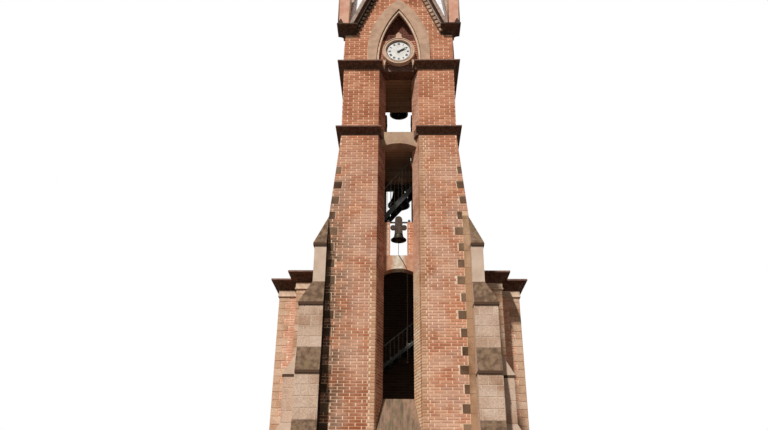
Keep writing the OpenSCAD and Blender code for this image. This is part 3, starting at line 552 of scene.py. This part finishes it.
header_brick = clay("pale_edge_brick", "#cf9f7d", "#daad8c", "#e6be9f", "#cfb39c")
masonry("slot_edge_headers", joined(edge_headers(0.0, low_cornice_z),
                                    mirrored(edge_headers(0.0, ochre_top), to_left)),
        header_brick)

# Edge stones of the shaft: a band of pale ochre ones up to the batter on the right, and on both sides
# dark ones that bond into the bricks every six courses and have weathered to brown.
ochre_stone = clay("ochre_edge_stone", "#b99473", "#bf9c7b", "#c7a585", "#a5886c")
stained_stone = clay("stained_edge_stone", "#6f5844", "#846a55", "#a08369", "#8f7862")
rear_tooth_low = 9.12
tooth_proud = 0.011


def teeth(bottom, band, more):
    """Dark stones three courses high, one in each group of six courses up to tooth_top. They reach in
    from the outer edge, or from the band where there is one."""
    low = np.arange(bottom, tooth_top - 0.05, tooth_courses * brick_course)
    high = low + tooth_courses / 2 * brick_course - brick_bed
    outer = np.where(low < batter_z, band, 0.0)
    inner = outer + tooth_reach(low) + more
    outlines = outlined(shaft_edge(low) - inner, shaft_edge(low) - outer, shaft_edge(high) - outer,
                        shaft_edge(high) - inner, low, high)
    return laid(outlines, *front_plane, tooth_proud)


low = np.arange(0, batter_z - 0.05, tooth_courses * brick_course)
high = np.minimum(low + tooth_courses * brick_course, batter_z) - 0.003
band_outlines = outlined(shaft_edge(low) - edge_band, shaft_edge(low), shaft_edge(high),
                         shaft_edge(high) - edge_band, low, high)
masonry("edge_stones", laid(band_outlines, *front_plane, 0.010), ochre_stone)
left_teeth = mirrored(teeth(0, 0.0, left_more), to_left)
rear_teeth = with_left(mirrored(teeth(rear_tooth_low, 0.0, left_more), to_back))
masonry("stained_edge_stones", joined(teeth(0, edge_band, 0.0), left_teeth, rear_teeth), stained_stone)

# Infill of the slot at ground level: bricks round the pointed doorway, whose arch is one ring of
# bricks on edge, struck from two centres on the springing line.
door_half = 0.45
door_spring = 2.15
door_rise = 0.62


def pointed(half, rise, grow=0.0, steps=12):
    """Points of a pointed arch from right to left. Both arcs are struck from the springing line at
    c = (rise² - half²) / (2 half) beyond the middle, with radius half + c + grow."""
    c = (rise ** 2 - half ** 2) / (2 * half)
    radius = half + c + grow
    turn = np.linspace(0, np.arccos(c / radius), steps)
    right = np.stack([radius * np.cos(turn) - c, radius * np.sin(turn)], -1)
    return np.vstack([right, (right * [-1, 1])[-2::-1]])


def beside_door(z, half=door_half, rise=door_rise, spring=door_spring, depth=0.13):
    """Half width of the doorway with its ring of bricks at height z, and none above it."""
    c = (rise ** 2 - half ** 2) / (2 * half)
    radius = half + c + depth
    reach = np.sqrt(np.maximum(radius ** 2 - np.maximum(z - spring, 0) ** 2, 0)) - c
    return np.maximum(np.where(z < spring, half + 0.012, reach), 0.0)


infill = with_left(front_bricks(beside_door, slot_half - 0.01, 0, 3.52))
# Block i of the ring lies between points i and i + 1 of both arcs, less half a joint at each end
arcs = [pointed(door_half, door_rise, grow, 13) + [0, door_spring] for grow in (0.005, 0.12)]
joint_share = 0.006 / np.linalg.norm(arcs[0][1] - arcs[0][0])
ring = np.stack([arcs[i][:-1] + share * np.diff(arcs[i], axis=0) for i, share in (
    (0, joint_share), (1, joint_share), (1, 1 - joint_share), (0, 1 - joint_share))], 1)
door_ring = laid(ring, *front_plane, 0.012)
masonry("doorway_bricks", infill, clay_brick)
masonry("doorway_arch_ring", door_ring, ochre_brick)

# Sill: one weathered slab of grey stone, steep enough to shed the rain, with moss and lime runs. A
# narrow lip stands over the brickwork below it.
sill_stone, tree = finish("mossy_sill_stone", 0.95, 0.15)
runs = add(tree, "Mapping", {"Vector": place_of(tree), "Scale": (6.0, 1.0, 1.0)}).outputs[0]
grey = mottle(tree, "#937560", "#665545", 0.5, place=runs)
dress(tree, mottle(tree, grey, "#6f6649", 0.12, 0.52, 0.72), 0.02, 0.006)
coat(sill_stone, "stone_sill")

# Stub piers behind the slot, which carry the swinging bell's axle: the same bricks on their front and
# on the side towards the bell.
stub_gap = 0.25
ledge_z = 8.74
stub_top = 9.76
stub_proud = 0.004


def stub_bricks(left, right, origin, along, shift):
    """The bond of the shaft, whose lowest course stands a little way in the ledge."""
    outlines = bricks(left, right, ledge_z - 0.02, stub_top, shift)
    return laid(outlines, origin, along, z_way, stub_proud)


stub = stub_bricks(stub_gap + 0.003, throat_half - 0.003, (0, front + wall, 0), x_way, 0.2)
stub_side = stub_bricks(0.0, 0.30, (stub_gap, -0.80, 0), (0, -1, 0), 0.0)
masonry("stub_pier_bricks", with_left(joined(stub, stub_side)), clay_brick)

# Ledge under the swinging bell: brickwork faced with lime plaster over a low arch, pink with a pale
# washed patch in the middle where rain drips from the bell.
plaster, tree = finish("washed_lime_plaster", 0.9, 0.15)
washed = ranged(tree, maths(tree, "ABSOLUTE", axes_of(tree)["X"]), 0.22, 0.08)
pink = mottle(tree, "#c99b7c", "#b98468", 0.15)
pale = mottle(tree, "#e6dccb", "#cdb79c", 0.12)
dress(tree, blend(tree, washed, pink, pale), 0.03, 0.005)
coat(plaster, "bell_ledge")

# Arches over the slot: flat stone arches that tie the piers, rendered in pinkish lime with ochre
# stains.
coat(rubbed("stained_lime_render", "#c2a384", "#b2917a", 0.3, grain=0.03, depth=0.004,
            spots=("#a17b54", 0.16, 0.54, 0.75)), "slot_arches")

# Ceilings: the boards under the belfry floor and under the clock room, dark brown with age. Each
# board is about 150 mm wide and runs from side to side.
board_width = 0.15
boards, tree = finish("oiled_pine_boards", 0.7, 0.25)
count = maths(tree, "MULTIPLY", axes_of(tree)["Y"], 1 / board_width)
number = maths(tree, "FLOOR", count)
shade = add(tree, "TexWhiteNoise", {"W": number}, noise_dimensions="1D").outputs["Value"]
tone = blend(tree, shade, "#bd8c63", "#d0a179")
open_joint = maths(tree, "LESS_THAN", maths(tree, "FRACT", count), 0.06)
dress(tree, blend(tree, open_joint, tone, "#4a3220"), 0.02, 0.003)
coat(boards, "belfry_floor", "clock_floor")

# Floors: lime concrete slabs at the door and in the ringing chamber, and the flat roof of the nave
# front, all worn and dusty.
coat(rubbed("dusty_lime_concrete", "#9c9084", "#84786c", 0.4, 0.95, 0.1, 0.02, 0.004), "ground_floor",
     "ringing_floor", "nave_roof")

# Buttresses: pinkish sandstone blocks, 345 by 277 mm, with pale pointing; the uppermost stage is one
# smooth stone. Caps slope to a lip along the foot; rain has turned tops and lips brown and olive.
cap_tips = np.array([9.68, 7.65, 5.86, 4.07, 0.0])
cap_feet = np.array([8.75, 7.05, 5.26, 3.47])
side_outs = np.array([0.36, 0.68, 1.00, 1.32])
front_outs = np.array([0.31, 0.42, 0.53, 0.64])
front_widths = np.array([0.36, 0.65, 0.65, 0.65])
drip = 0.035
drip_height = 0.07
block_course = 0.2925
block_length = 0.345
block_joint = 0.016
faces_of_stone = []
for stage in range(1, 4):
    low, high = cap_tips[stage + 1], cap_feet[stage] - drip_height
    wide, out = shaft_half + front_widths[stage] - drip, shaft_half + side_outs[stage] - drip
    nose, back = front - front_outs[stage] + drip, front + flank_depth
    upright = [(shaft_half, wide, (0, nose, 0), x_way), (nose, front, (wide, 0, 0), y_way),
               (front, back, (out, 0, 0), y_way), (-out, -shaft_half, (0, back, 0), (-1, 0, 0))]
    if out > wide + 0.05:
        upright.append((wide, out, (0, front, 0), x_way))
    # The courses fill each face from its foot to the cap
    course = (high - low) / max(1, round((high - low) / block_course))
    for start, end, origin, along in upright:
        blocks = coursed(start, end, low, high - 1e-6, course, block_length, block_joint, 0.35 * stage)
        faces_of_stone.append(laid(blocks, origin, along, z_way, 0.006, inset=0.004))
sandstone_block = clay("pink_sandstone_block", "#d6b79f", "#ddc0a9", "#e4cab5", "#c6b09c")
masonry("buttress_blocks", with_left(joined(*faces_of_stone)), sandstone_block)

weathered, tree = finish("weathered_sandstone", 0.95, 0.1)
axes = axes_of(tree)
facing = axes_of(tree, add(tree, "NewGeometry").outputs["Normal"])
lip = 0.0
for foot in cap_feet:
    at_foot = maths(tree, "COMPARE", axes["Z"], foot - drip_height / 2, drip_height / 2 + 0.004)
    lip = maths(tree, "MAXIMUM", at_foot, lip)
pointing = mottle(tree, "#dbc0a9", "#ceb29b", 0.3)
crust = mottle(tree, "#8f745d", "#675140", 0.12)
lichen = mottle(tree, crust, "#867150", 0.25, 0.56, 0.76)
top_face = blend(tree, ranged(tree, facing["Z"], 0.04, 0.15), pointing, lichen)
dirty = blend(tree, lip, top_face, "#5c4536")
# The inner side of the left buttress never sees the sun, and is painted near black as painted shade
painted_shade_side = maths(tree, "MULTIPLY", ranged(tree, facing["X"], 0.4, 0.6),
              maths(tree, "LESS_THAN", axes["X"], -1.9))
dress(tree, blend(tree, painted_shade_side, dirty, "#241a15"), 0.02, 0.006)
coat(weathered, "buttresses")

# Cornices: brown sandstone, run as a hollow under a thin band. Their downward faces are dark with soot
# and with painted shade, and the other faces a pinkish grey that rain has washed. The gables' copings
# are cleaner.


def soot_and_shade_below(name, dark, darker, clean, cleaner):
    """Stone whose downward faces take the dark pair of colours, for soot and painted shade, and whose
    other faces are washed clean.
    """
    material, tree = finish(name, 0.93, 0.12)
    facing = axes_of(tree, add(tree, "NewGeometry").outputs["Normal"])
    soot = mottle(tree, dark, darker, 0.08)
    washed = mottle(tree, clean, cleaner, 0.10)
    both = blend(tree, ranged(tree, facing["Z"], -0.1, -0.01), soot, washed)
    dress(tree, both, 0.02, 0.006)
    return material


coat(soot_and_shade_below("soot_and_shade_brown_sandstone", "#7b5846", "#5d4132", "#8f7062", "#75594c"), "low_cornice",
     "top_cornice", "nave_cornice")
# The kneelers are dark on every face, with soot and with painted shade for their hollows
coat(soot_and_shade_below("black_kneeler_stone", "#6e4f40", "#4d372c", "#5c453a", "#46342c"), "kneelers")
coat(soot_and_shade_below("washed_coping_stone", "#6e5042", "#543b2e", "#b8a292", "#958072"), "gable_copings")

# Belfry: the same bricks on upright faces between the two cornices, round the openings in front and
# behind, and on their reveals.
belfry_low = 12.56
belfry_high = 14.70
belfry_face = front_bricks(slot_half, belfry_half, belfry_low, belfry_high)
belfry_flank = wall_bricks(-belfry_half, belfry_half, belfry_low, belfry_high, (belfry_half, 0, 0),
                           y_way)
belfry_reveal = reveal(0.0, reveal_length, belfry_low, belfry_high)
masonry("belfry_bricks", with_left(joined(with_back(belfry_face), belfry_flank)), clay_brick)
# Front left and both rear reveals: darker bricks, painted shade. Front right: paler pink, painted
# sunlight
masonry("belfry_left_reveal", joined(mirrored(belfry_reveal, to_left),
                                     with_left(mirrored(belfry_reveal, to_back))), shade_darkened_brick)
masonry("belfry_right_reveal", belfry_reveal, sun_paled_brick)

# Gables: bricks on four steep triangles, cut to the slope under the coping and round the pointed
# frames. The bond starts on the upper cornice.
gable_low = 14.96
kneeler_z = 16.05
gable_tip = 19.28
gable_foot = 1.335
panel_half = 0.70
panel_spring = 15.10
panel_rise = 2.00
frame_width = 0.28
frame_spring = 15.50


def gable_edge(z):
    slope = gable_foot - (z - kneeler_z) * gable_foot / (gable_tip - kneeler_z)
    return np.where(z < kneeler_z, belfry_half, slope)


def beside_frame(z):
    return beside_door(z, panel_half + frame_width, panel_rise, frame_spring, 0.012)


def all_round(part):
    """The part on all four sides of the tower."""
    return joined(with_back(part), turned(with_back(part)))


gable_face = with_left(front_bricks(beside_frame, gable_edge, gable_low, 19.0))
masonry("gable_bricks", all_round(gable_face), clay_brick)

# Panels of the gables: bricks 110 mm behind the face. Over the front dial, where the panel is 160 mm
# deeper, they are painted dark brown as painted shade, and all the panels' mortar is dark brown with
# it.
panel_face = front + 0.11
shade_foot = 15.92
deep_low = 16.16
panel_top = 17.05


def beside_panel(z):
    return beside_door(z, panel_half, panel_rise, panel_spring, -0.075) - 0.075 * (z < panel_spring)


def panel(bottom, top, deeper=0.0):
    return with_left(wall_bricks(0.0, beside_panel, bottom, top, (0, panel_face + deeper, 0), x_way))


panel_brick = clay("pale_panel_brick", "#cb8868", "#d39678", "#dba688", "#c4a292")
# Dark bricks over the dial: painted shade in the recess
shade_panel_brick = clay("painted_shade_panel_brick", "#6e4237", "#7a4b3e", "#875648", "#8a7a74")
coat(rubbed("shade_dark_panel_mortar", "#7c5546", "#6d493c"), "gable_panels")
masonry("panel_bricks", joined(panel(gable_low, shade_foot),
                               turned(with_back(panel(gable_low, panel_top)))), panel_brick)
masonry("deep_panel_bricks", joined(panel(shade_foot, deep_low), panel(deep_low, panel_top, 0.16)),
        shade_panel_brick)

# Frames of the gables: a pointed band of grey-brown stone proud of the bricks, and inside it, past
# a dark groove, a thin cream roll that follows the panel's edge.
coat(rubbed("grey_brown_frame_stone", "#cda98d", "#b9967c", 0.2), "gable_frames")
pale_stone = rubbed("cream_limestone", "#e4c7ac", "#cfae92")


def bar(corners, section):
    """A closed moulding: the section, as offsets (out, across), is carried through the corners of a
    flat path. Across lies in the path's plane, square to it, and is longer by 1 / cos of half the
    turn at a corner, which mitres it. Out is the plane's normal, or -Y where both ends are parallel."""
    section = np.array(section, float)
    ways = unit(np.diff(corners, axis=0))
    before, after = np.vstack([ways[:1], ways]), np.vstack([ways, ways[-1:]])
    plane = np.cross(ways[0], ways[-1])
    if np.linalg.norm(plane) < 1e-6:
        plane = np.array([0.0, -1.0, 0.0])
    plane = unit(plane)
    across = unit(np.cross(plane, before + after))
    across /= np.sum(across * np.cross(plane, before), axis=1, keepdims=True)
    points = corners[:, None] + section[None, :, :1] * plane + section[None, :, 1:] * across[:, None]
    return outward(points.reshape(-1, 3), lattice(len(corners), len(section), False))


roll_foot = 14.955
arch = pointed(panel_half, panel_rise, -0.045, 16) + [0, panel_spring]
arch = np.vstack([[arch[0, 0], roll_foot], arch, [arch[-1, 0], roll_foot]])
roll_path = np.insert(arch, 1, front + 0.05, axis=1)
roll = bar(roll_path, [[-0.03, -0.03], [-0.045, -0.01], [-0.045, 0.01], [-0.03, 0.03], [0.062, 0.03],
                       [0.062, -0.03]])
piece("gable_frame_rolls", all_round(roll), pale_stone)

# Clock: a turned stone ring with two round beads, a white enamelled dial with painted numerals,
# an iron rim round the dial, and small stone drops at its lower sides.
clock_z = 15.38
dial_radius = 0.375
dial_face = panel_face - 0.155
ring_face = panel_face - 0.20


def turned_ring(section, centre=(0, 0, 0), axis="y", steps=64):
    """A ring: the section, as (radius, depth) in order round it, turned about the axis. Depth runs
    along -Y or +Z."""
    section = np.array(section, float)
    a = 2 * np.pi * np.arange(steps)[:, None] / steps
    r, d = section[None, :, 0], section[None, :, 1] + 0 * a
    points = (np.stack([r * np.cos(a), -d, r * np.sin(a)], -1) if axis == "y"
              else np.stack([r * np.cos(a), r * np.sin(a), d], -1))
    return outward(points.reshape(-1, 3) + centre, lattice(steps, len(section), True))


def bead(radius, thick, depth):
    """Section of a round bead of this thickness, at a radius and a depth."""
    a = 2 * np.pi * np.arange(8) / 8
    return np.stack([radius + thick / 2 * np.cos(a), depth + thick / 2 * np.sin(a)], -1)


coat(rubbed("pink_limestone_ring", "#ddbaa2", "#c8a289"), "clock_ring", "spire_finial")
clock_middle = np.array([0, 0, clock_z])
beads = [turned_ring(bead(radius, thick, -ring_face), clock_middle)
         for radius, thick in ((0.487, 0.034), (0.418, 0.022))]
piece("clock_ring_beads", joined(*beads), pale_stone, smooth=True)
black_iron = rubbed("black_painted_iron", "#1b1a1c", "#2b2826", 0.06, 0.45, 0.5, 0.01, 0.0005)
coat(black_iron, "minute_hand", "hour_hand")
rim_inner = dial_radius - 0.012
rim_outer = dial_radius - 0.0015
piece("dial_rim", turned_ring([[rim_inner, -dial_face], [rim_inner, 0.010 - dial_face],
                               [rim_outer, 0.014 - dial_face], [rim_outer, -dial_face]], clock_middle),
      black_iron)

coat(rubbed("white_enamel_dial", "#ebe8e0", "#d6d1c6", 0.2, 0.35, 0.5, 0.05, 0.0006), "clock_dial")

numerals = ["XII", "I", "II", "III", "IIII", "V", "VI", "VII", "VIII", "IX", "X", "XI"]
strokes_of = {"I": [(0, -1, 0, 1)], "V": [(-0.7, 1, 0, -1), (0.7, 1, 0, -1)],
              "X": [(-0.7, -1, 0.7, 1), (-0.7, 1, 0.7, -1)]}
width_of = {"I": 0.6, "V": 1.5, "X": 1.5}
numeral_half = 0.036
stroke_half = 0.009
numeral_radius = 0.285


def clockwise(outline, degrees):
    a = -np.radians(degrees)
    return outline @ np.array([[np.cos(a), np.sin(a)], [-np.sin(a), np.cos(a)]])


def numeral_outlines():
    """Four corners for each stroke of the twelve numerals: the letters stand side by side, each
    numeral is centred and then turned to its hour, its foot inwards."""
    found = []
    for hour, letters in enumerate(numerals):
        widths = np.array([width_of[c] for c in letters])
        middles = np.cumsum(widths) - widths / 2 - widths.sum() / 2
        lines = np.array([(x0 + m, y0, x1 + m, y1) for c, m in zip(letters, middles)
                          for x0, y0, x1, y1 in strokes_of[c]]).reshape(-1, 2, 2) * numeral_half
        lines *= [0.8, 1.0]
        way = unit(lines[:, 1] - lines[:, 0])
        thick = stroke_half * np.stack([way[:, 1], -way[:, 0]], -1)
        corners = np.stack([lines[:, 0] + thick, lines[:, 1] + thick, lines[:, 1] - thick,
                            lines[:, 0] - thick], 1) + [0, numeral_radius]
        found.append(clockwise(corners, 30 * hour))
    return np.concatenate(found)


numeral_paint, tree = finish("black_dial_paint", 0.5, 0.4)
colour(tree, mottle(tree, "#1d1c1e", "#35322f", 0.03))


def painted(name, outlines):
    """Raised marks on the dial, in its black paint."""
    piece(name, laid(outlines, (0, dial_face, clock_z), x_way, z_way, 0.002, 0.002, 0.0), numeral_paint)


painted("dial_numerals", numeral_outlines())
tick = np.array([[-0.003, 0.340], [0.003, 0.340], [0.003, 0.354], [-0.003, 0.354]])
ticks = np.array([clockwise(tick, 6 * minute) for minute in range(60)])
painted("dial_minute_marks", ticks)

drop = [[0.435, 14.80], [0.450, 14.80], [0.485, 15.00], [0.400, 15.00]]
drop_cap = [[0.395, 15.003], [0.490, 15.003], [0.490, 15.030], [0.395, 15.030]]
piece("clock_ring_drops", with_left(laid(np.array([drop, drop_cap]), (0, front - 0.02, 0), x_way,
                                         z_way, 0.07, sink=0.10, inset=0.006)),
      pale_stone)

# Dentils of the gable copings: small square stone blocks in a row under the moulding, 165 mm apart,
# that follow both slopes of each gable.
slope_length = np.hypot(gable_foot, gable_tip - kneeler_z)
slope_way = np.array([-gable_foot, 0, gable_tip - kneeler_z]) / slope_length
slope_up = np.array([gable_tip - kneeler_z, 0, gable_foot]) / slope_length
dentil_pitch = 0.165
along = np.arange(0.10, slope_length - 0.06, dentil_pitch)
dentils = outlined(0.010, 0.125, 0.125, 0.010, along, along + 0.105)
dentil_row = outward(*laid(dentils, (gable_foot, front - 0.02, kneeler_z), slope_up, slope_way, 0.075,
                           sink=0.01))
dentil_stone = clay("dentil_sandstone", "#c3a68e", "#d0b399", "#dec2a8", "#a98e7a")
gable_dentils = with_left(dentil_row)
masonry("coping_dentils", joined(dentil_row, mirrored(gable_dentils, to_back),
                                 turned(with_back(gable_dentils))), dentil_stone)
# The dentils under the front left slope are painted dark, as painted shade of the coping over them
shade_dentil_stone = clay("painted_shade_dentil_stone", "#4a382e", "#54412f", "#5e4a38", "#3a2c24")
masonry("shaded_dentils", mirrored(dentil_row, to_left), shade_dentil_stone)

# Pinnacles: pink stone shafts on the kneelers with pointed caps. A pale bead is worked on each
# corner of the shaft.
coat(rubbed("pink_pinnacle_stone", "#e3b096", "#d59c82", 0.2), "pinnacles")
pinnacle_low = 16.34
pinnacle_high = 19.04
pinnacle_half = 0.18
bead_in = pinnacle_half - 0.006
edges = [tube(np.array([[1.76 + x, front + y, z] for z in (pinnacle_low, pinnacle_high)]), 0.022, 8)
         for x in (-bead_in, bead_in) for y in (-bead_in, bead_in)]
piece("pinnacle_corner_beads", with_left(with_back(joined(*edges))), pale_stone,
      smooth=True)

# Spire: four steep faces clad in limewashed slabs, 300 mm high, laid to the slope with fine joints,
# and a roll along each corner that covers the ends of the slabs.
spire_foot = 1.62
spire_tip = 0.06
spire_low = 16.34
spire_high = 28.40
limewash, tree = finish("limewashed_slab", 0.75, 0.2)
fired = add(tree, "Attribute", attribute_name="fired").outputs["Fac"]
white = blend(tree, fired, "#e9edf2", "#fbfbf8")
dress(tree, mottle(tree, white, "#d6dbe2", 0.8, 0.5, 0.9), 0.03, 0.002)
coat(limewash, "spire")


def slab_edge(z):
    return np.interp(z, [spire_low, spire_high], [spire_foot, spire_tip]) - 0.02


def beside_coping(z):
    """Where a gable's coping, 0.864 m deep measured upright, ends beside the slabs at height z."""
    return gable_foot - (z - kneeler_z - 0.864) * gable_foot / (gable_tip - kneeler_z) + 0.01


spire_lean = (spire_foot - spire_tip) / (spire_high - spire_low)
slab_plane = ((0, -(spire_foot + spire_lean * spire_low), 0), x_way, (0, spire_lean, 1), 0.006)
slab_size = (0.295, 0.52, 0.006)
slab_rows = (16.365, 20.20, 28.165)
low_slabs = laid(coursed(beside_coping, slab_edge, *slab_rows[:2], *slab_size), *slab_plane)
high_slabs = laid(coursed(lambda z: -slab_edge(z), slab_edge, *slab_rows[1:], *slab_size), *slab_plane)
slabs = joined(with_left(low_slabs), high_slabs)
half_turn = joined(slabs, turned(slabs))
masonry("spire_slabs", joined(half_turn, turned(turned(half_turn))), limewash)
hip = tube(np.array([[spire_foot, -spire_foot, spire_low + 0.02], [spire_tip, -spire_tip, 28.38]]),
           0.045, 10)
piece("spire_corner_rolls", with_left(with_back(hip)), limewash, per_block=20,
      smooth=True)

# Bells: cast bronze, brown-black with age. Each has a raised band at the shoulder and two above
# the mouth, cast with it.
old_bronze = rubbed("aged_bell_bronze", "#40372b", "#2a261f", 0.10, 0.5, 0.5, 0.008, 0.0008,
                    ("#4b5a48", 0.05, 0.60, 0.75))
shader_of(old_bronze.node_tree).inputs["Metallic"].default_value = 0.75
coat(old_bronze, "low_bell", "fixed_bells")


def bell_bands(radius, height, centre):
    """Three beads round a bell: at these shares of its height, on the radius that it has there."""
    return joined(*[turned_ring(bead(radius * r, 0.022 * radius / 0.224, height * h), centre, "z", 40)
                    for r, h in ((0.955, 0.075), (0.86, 0.165), (0.53, 0.82))])


piece("swinging_bell_bands", bell_bands(0.224, 0.20, [0, -0.95, 9.26]), old_bronze,
      "swinging_bell", smooth=True)
piece("fixed_bell_bands", joined(bell_bands(0.35, 0.56, [0, 0.60, 11.10]),
                                 bell_bands(0.325, 0.52, [0, 1.40, 15.08])), old_bronze,
      smooth=True)

# Yoke and beams: oak, grey-brown with weather. An iron strap goes over the yoke's round head and down
# its sides, and four bolts with round heads go through its face.
oak, tree = finish("weathered_oak", 0.75, 0.25)
grain = add(tree, "Mapping", {"Vector": place_of(tree), "Scale": (1.0, 1.0, 0.15)}).outputs[0]
dress(tree, mottle(tree, "#5a493a", "#3c2f25", 0.02, place=grain), 0.012, 0.002, grain)
coat(oak, "low_bell_yoke", "bell_beams")
axle_z = 9.82
head = np.linspace(0, np.pi, 15)
strap_line = np.vstack([[0.1165, 9.56], np.stack([0.104 * np.cos(head), axle_z + 0.078 + 0.104 *
                                                  np.sin(head)], -1), [-0.1165, 9.56]])
strap = bar(np.insert(strap_line, 1, -0.95, axis=1),
            [[-0.02, -0.003], [0.02, -0.003], [0.02, 0.004], [-0.02, 0.004]])
bolt = turned_ring([[0.0005, 0.0], [0.014, 0.0], [0.014, 0.006], [0.008, 0.011], [0.0005, 0.012]],
                   steps=16)
bolts = joined(*[(bolt[0] + [x, -1.009, z], bolt[1]) for x in (-0.07, 0.07) for z in (9.60, 9.86)])
piece("yoke_strap", joined(strap, bolts), black_iron, "swinging_bell")

# Bearings, stair flights and landings: black painted iron. Rails and balusters are pale grey, and a
# pale strip on the strings' top edges is a painted highlight. Hexagon bolts hold the bearings' caps.
low_foot = 6.175
low_slope = 0.80
low_depth = 0.11
high_foot = 10.59
high_slope = 1.17
high_depth = 0.21
stair_iron, tree = finish("stair_iron_pale_rails", 0.55, 0.4)
axes = axes_of(tree)
rail_masks = []
# Above each string's top edge less 20 mm: the pale railing, and a painted highlight on the edge
for slope, edge in ((low_slope, low_foot + low_depth), (high_slope, high_foot + high_depth)):
    over = maths(tree, "SUBTRACT", axes["Z"], maths(tree, "MULTIPLY", axes["X"], slope))
    rail_masks.append(maths(tree, "GREATER_THAN", over, edge - 0.02))
upper = maths(tree, "GREATER_THAN", axes["Z"], 8.8)
railing = add(tree, "Mix", {0: upper, 2: rail_masks[0], 3: rail_masks[1]}).outputs[0]
paint = mottle(tree, "#1c1a19", "#2b2724", 0.10)
rail_grey = mottle(tree, "#8d8a78", "#68655a", 0.08)
dress(tree, blend(tree, railing, paint, rail_grey), 0.01, 0.0006)
coat(stair_iron, "lower_flight", "upper_flight", "landings")
coat(black_iron, "bearings")


def balusters(start, end, foot, slope, depth, rail, y, between):
    """Round bars, 14 mm thick, that stand between a flight's seven posts from string to rail."""
    count = 6 * (between + 1)
    pitch = (end - start - 0.06) / count
    lifts = (depth - 0.02, rail - 0.01)
    places = [start + 0.03 + pitch * k for k in range(count) if k % (between + 1)]
    return joined(*[tube(np.array([[x, y, foot + slope * x + lift] for lift in lifts]), 0.007, 8)
                    for x in places])


piece("flight_balusters", joined(
    balusters(-0.75, 0.75, low_foot, low_slope, low_depth, 0.64, 0.215, 1),
    balusters(-0.9487, 1.15, high_foot, high_slope, high_depth, 1.09, -0.485, 2)), stair_iron)
nut = turned_ring([[0.0005, 0.0], [0.016, 0.0], [0.016, 0.014], [0.0005, 0.014]], axis="z", steps=6)
piece("bearing_nuts", with_left(joined(*[(nut[0] + [0.305, y, axle_z + 0.055], nut[1])
                                         for y in (-0.99, -0.91)])), black_iron)

# Nave front: paler bricks in two steps beside the tower, with cream stones at the outer corners, long
# and short in turn, and a cream band with a lip under the cornice.
inner_half = 3.21
outer_half = 3.87
outer_y = 2.12
party_y = 4.72
band_low = 8.56
quoin_long = 0.34
quoin_short = 0.20
quoin_course = 0.24
quoin_joint = 0.012


def long_and_short(edge):
    """The bricks' edge beside a corner whose stones, three courses high, are long and short."""
    return lambda z: edge - quoin_joint - np.where(np.floor(z / quoin_course + 0.01) % 2 == 1,
                                                   quoin_long, quoin_short)


def nave_wall(left, right, origin, along):
    return wall_bricks(left, right, 0, band_low, origin, along, shift=0.4)


nave_faces = joined(
    nave_wall(shaft_half, long_and_short(inner_half), (0, inner_y, 0), x_way),
    nave_wall(quoin_short, outer_y - inner_y, (inner_half, inner_y, 0), y_way),
    nave_wall(inner_half, long_and_short(outer_half), (0, outer_y, 0), x_way),
    nave_wall(quoin_short, party_y - outer_y, (outer_half, outer_y, 0), y_way))
nave_brick = clay("pale_nave_brick", "#eab092", "#f3c0a4", "#fad0b8", "#dfc8b8")
masonry("nave_bricks", with_left(nave_faces), nave_brick)


def corner_stones(half, y):
    """The stones of one corner: their face on the front, and their side."""
    face = header_outlines(0.0, band_low, (quoin_short, quoin_long), quoin_course, quoin_joint)
    face[..., 0] = half - face[..., 0]
    side = header_outlines(0.0, band_low, (quoin_short - quoin_joint,), quoin_course, quoin_joint)
    return joined(laid(face[:, [1, 0, 3, 2]], (0, y, 0), x_way, z_way, 0.012),
                  laid(side, (half, y, 0), y_way, z_way, 0.012))


quoins = joined(corner_stones(inner_half, inner_y), corner_stones(outer_half, outer_y))
pale_quoin = clay("pale_nave_quoin", "#dab495", "#e3c0a2", "#eccdb2", "#c8ae98")
masonry("nave_quoins", with_left(quoins), pale_quoin)
band_line = [[shaft_half + 0.01, inner_y], [inner_half, inner_y], [inner_half, outer_y],
             [outer_half, outer_y], [outer_half, party_y - 0.002]]
band = bar(np.insert(band_line, 2, band_low, axis=1), [[0.0, -0.05], [0.0, 0.02], [0.208, 0.02],
                                                       [0.208, -0.03], [0.05, -0.03], [0.04, -0.05]])
piece("nave_string_course", with_left(band), pale_stone)
coat(mortared("party_wall_brickwork", "#d8b496", "#b06a50", "#96543f", "#d8b496", everywhere=True),
     "party_wall")

# Floor and light: a plain pale floor, one sun at the left shoulder of the camera, and an even pale
# surround. The floor sends little light back, as paving does, though it looks pale.
floor_mesh = bpy.data.meshes.new("floor")
floor_mesh.from_pydata([(-60, -60, -0.003), (60, -60, -0.003), (60, 60, -0.003), (-60, 60, -0.003)],
                       [], [(0, 1, 2, 3)])
floor = bpy.data.objects.new("floor", floor_mesh)
scene.collection.objects.link(floor)
paving, tree = finish("pale_floor", 0.9, 0.1)
seen = add(tree, "LightPath").outputs["Is Camera Ray"]
colour(tree, blend(tree, seen, "#6b6560", "#e9e7e3"))
floor_mesh.materials.append(paving)

sun = bpy.data.lights.new("sun", "SUN")
sun.energy = 3.9
sun.angle = np.radians(3.0)
sun_object = bpy.data.objects.new("sun", sun)
toward = np.array([-0.261, -0.587, 0.766])
sun_object.rotation_euler = (np.arccos(toward[2]), 0.0, np.arctan2(toward[0], -toward[1]))
scene.collection.objects.link(sun_object)

world = bpy.data.worlds.new("pale_surround")
world.use_nodes = True
scene.world = world
tree = world.node_tree
background = tree.nodes["Background"]
path = add(tree, "LightPath").outputs
rays = path["Is Camera Ray"]
for kind in ("Is Glossy Ray", "Is Transmission Ray"):
    rays = maths(tree, "MAXIMUM", rays, path[kind])
strength = add(tree, "MapRange", {"Value": rays, "To Min": 0.2, "To Max": 1.0})
tree.links.new(strength.outputs["Result"], background.inputs["Strength"])
background.inputs["Color"].default_value = (1.0, 1.0, 1.0, 1.0)
scene.view_settings.view_transform = "Standard"
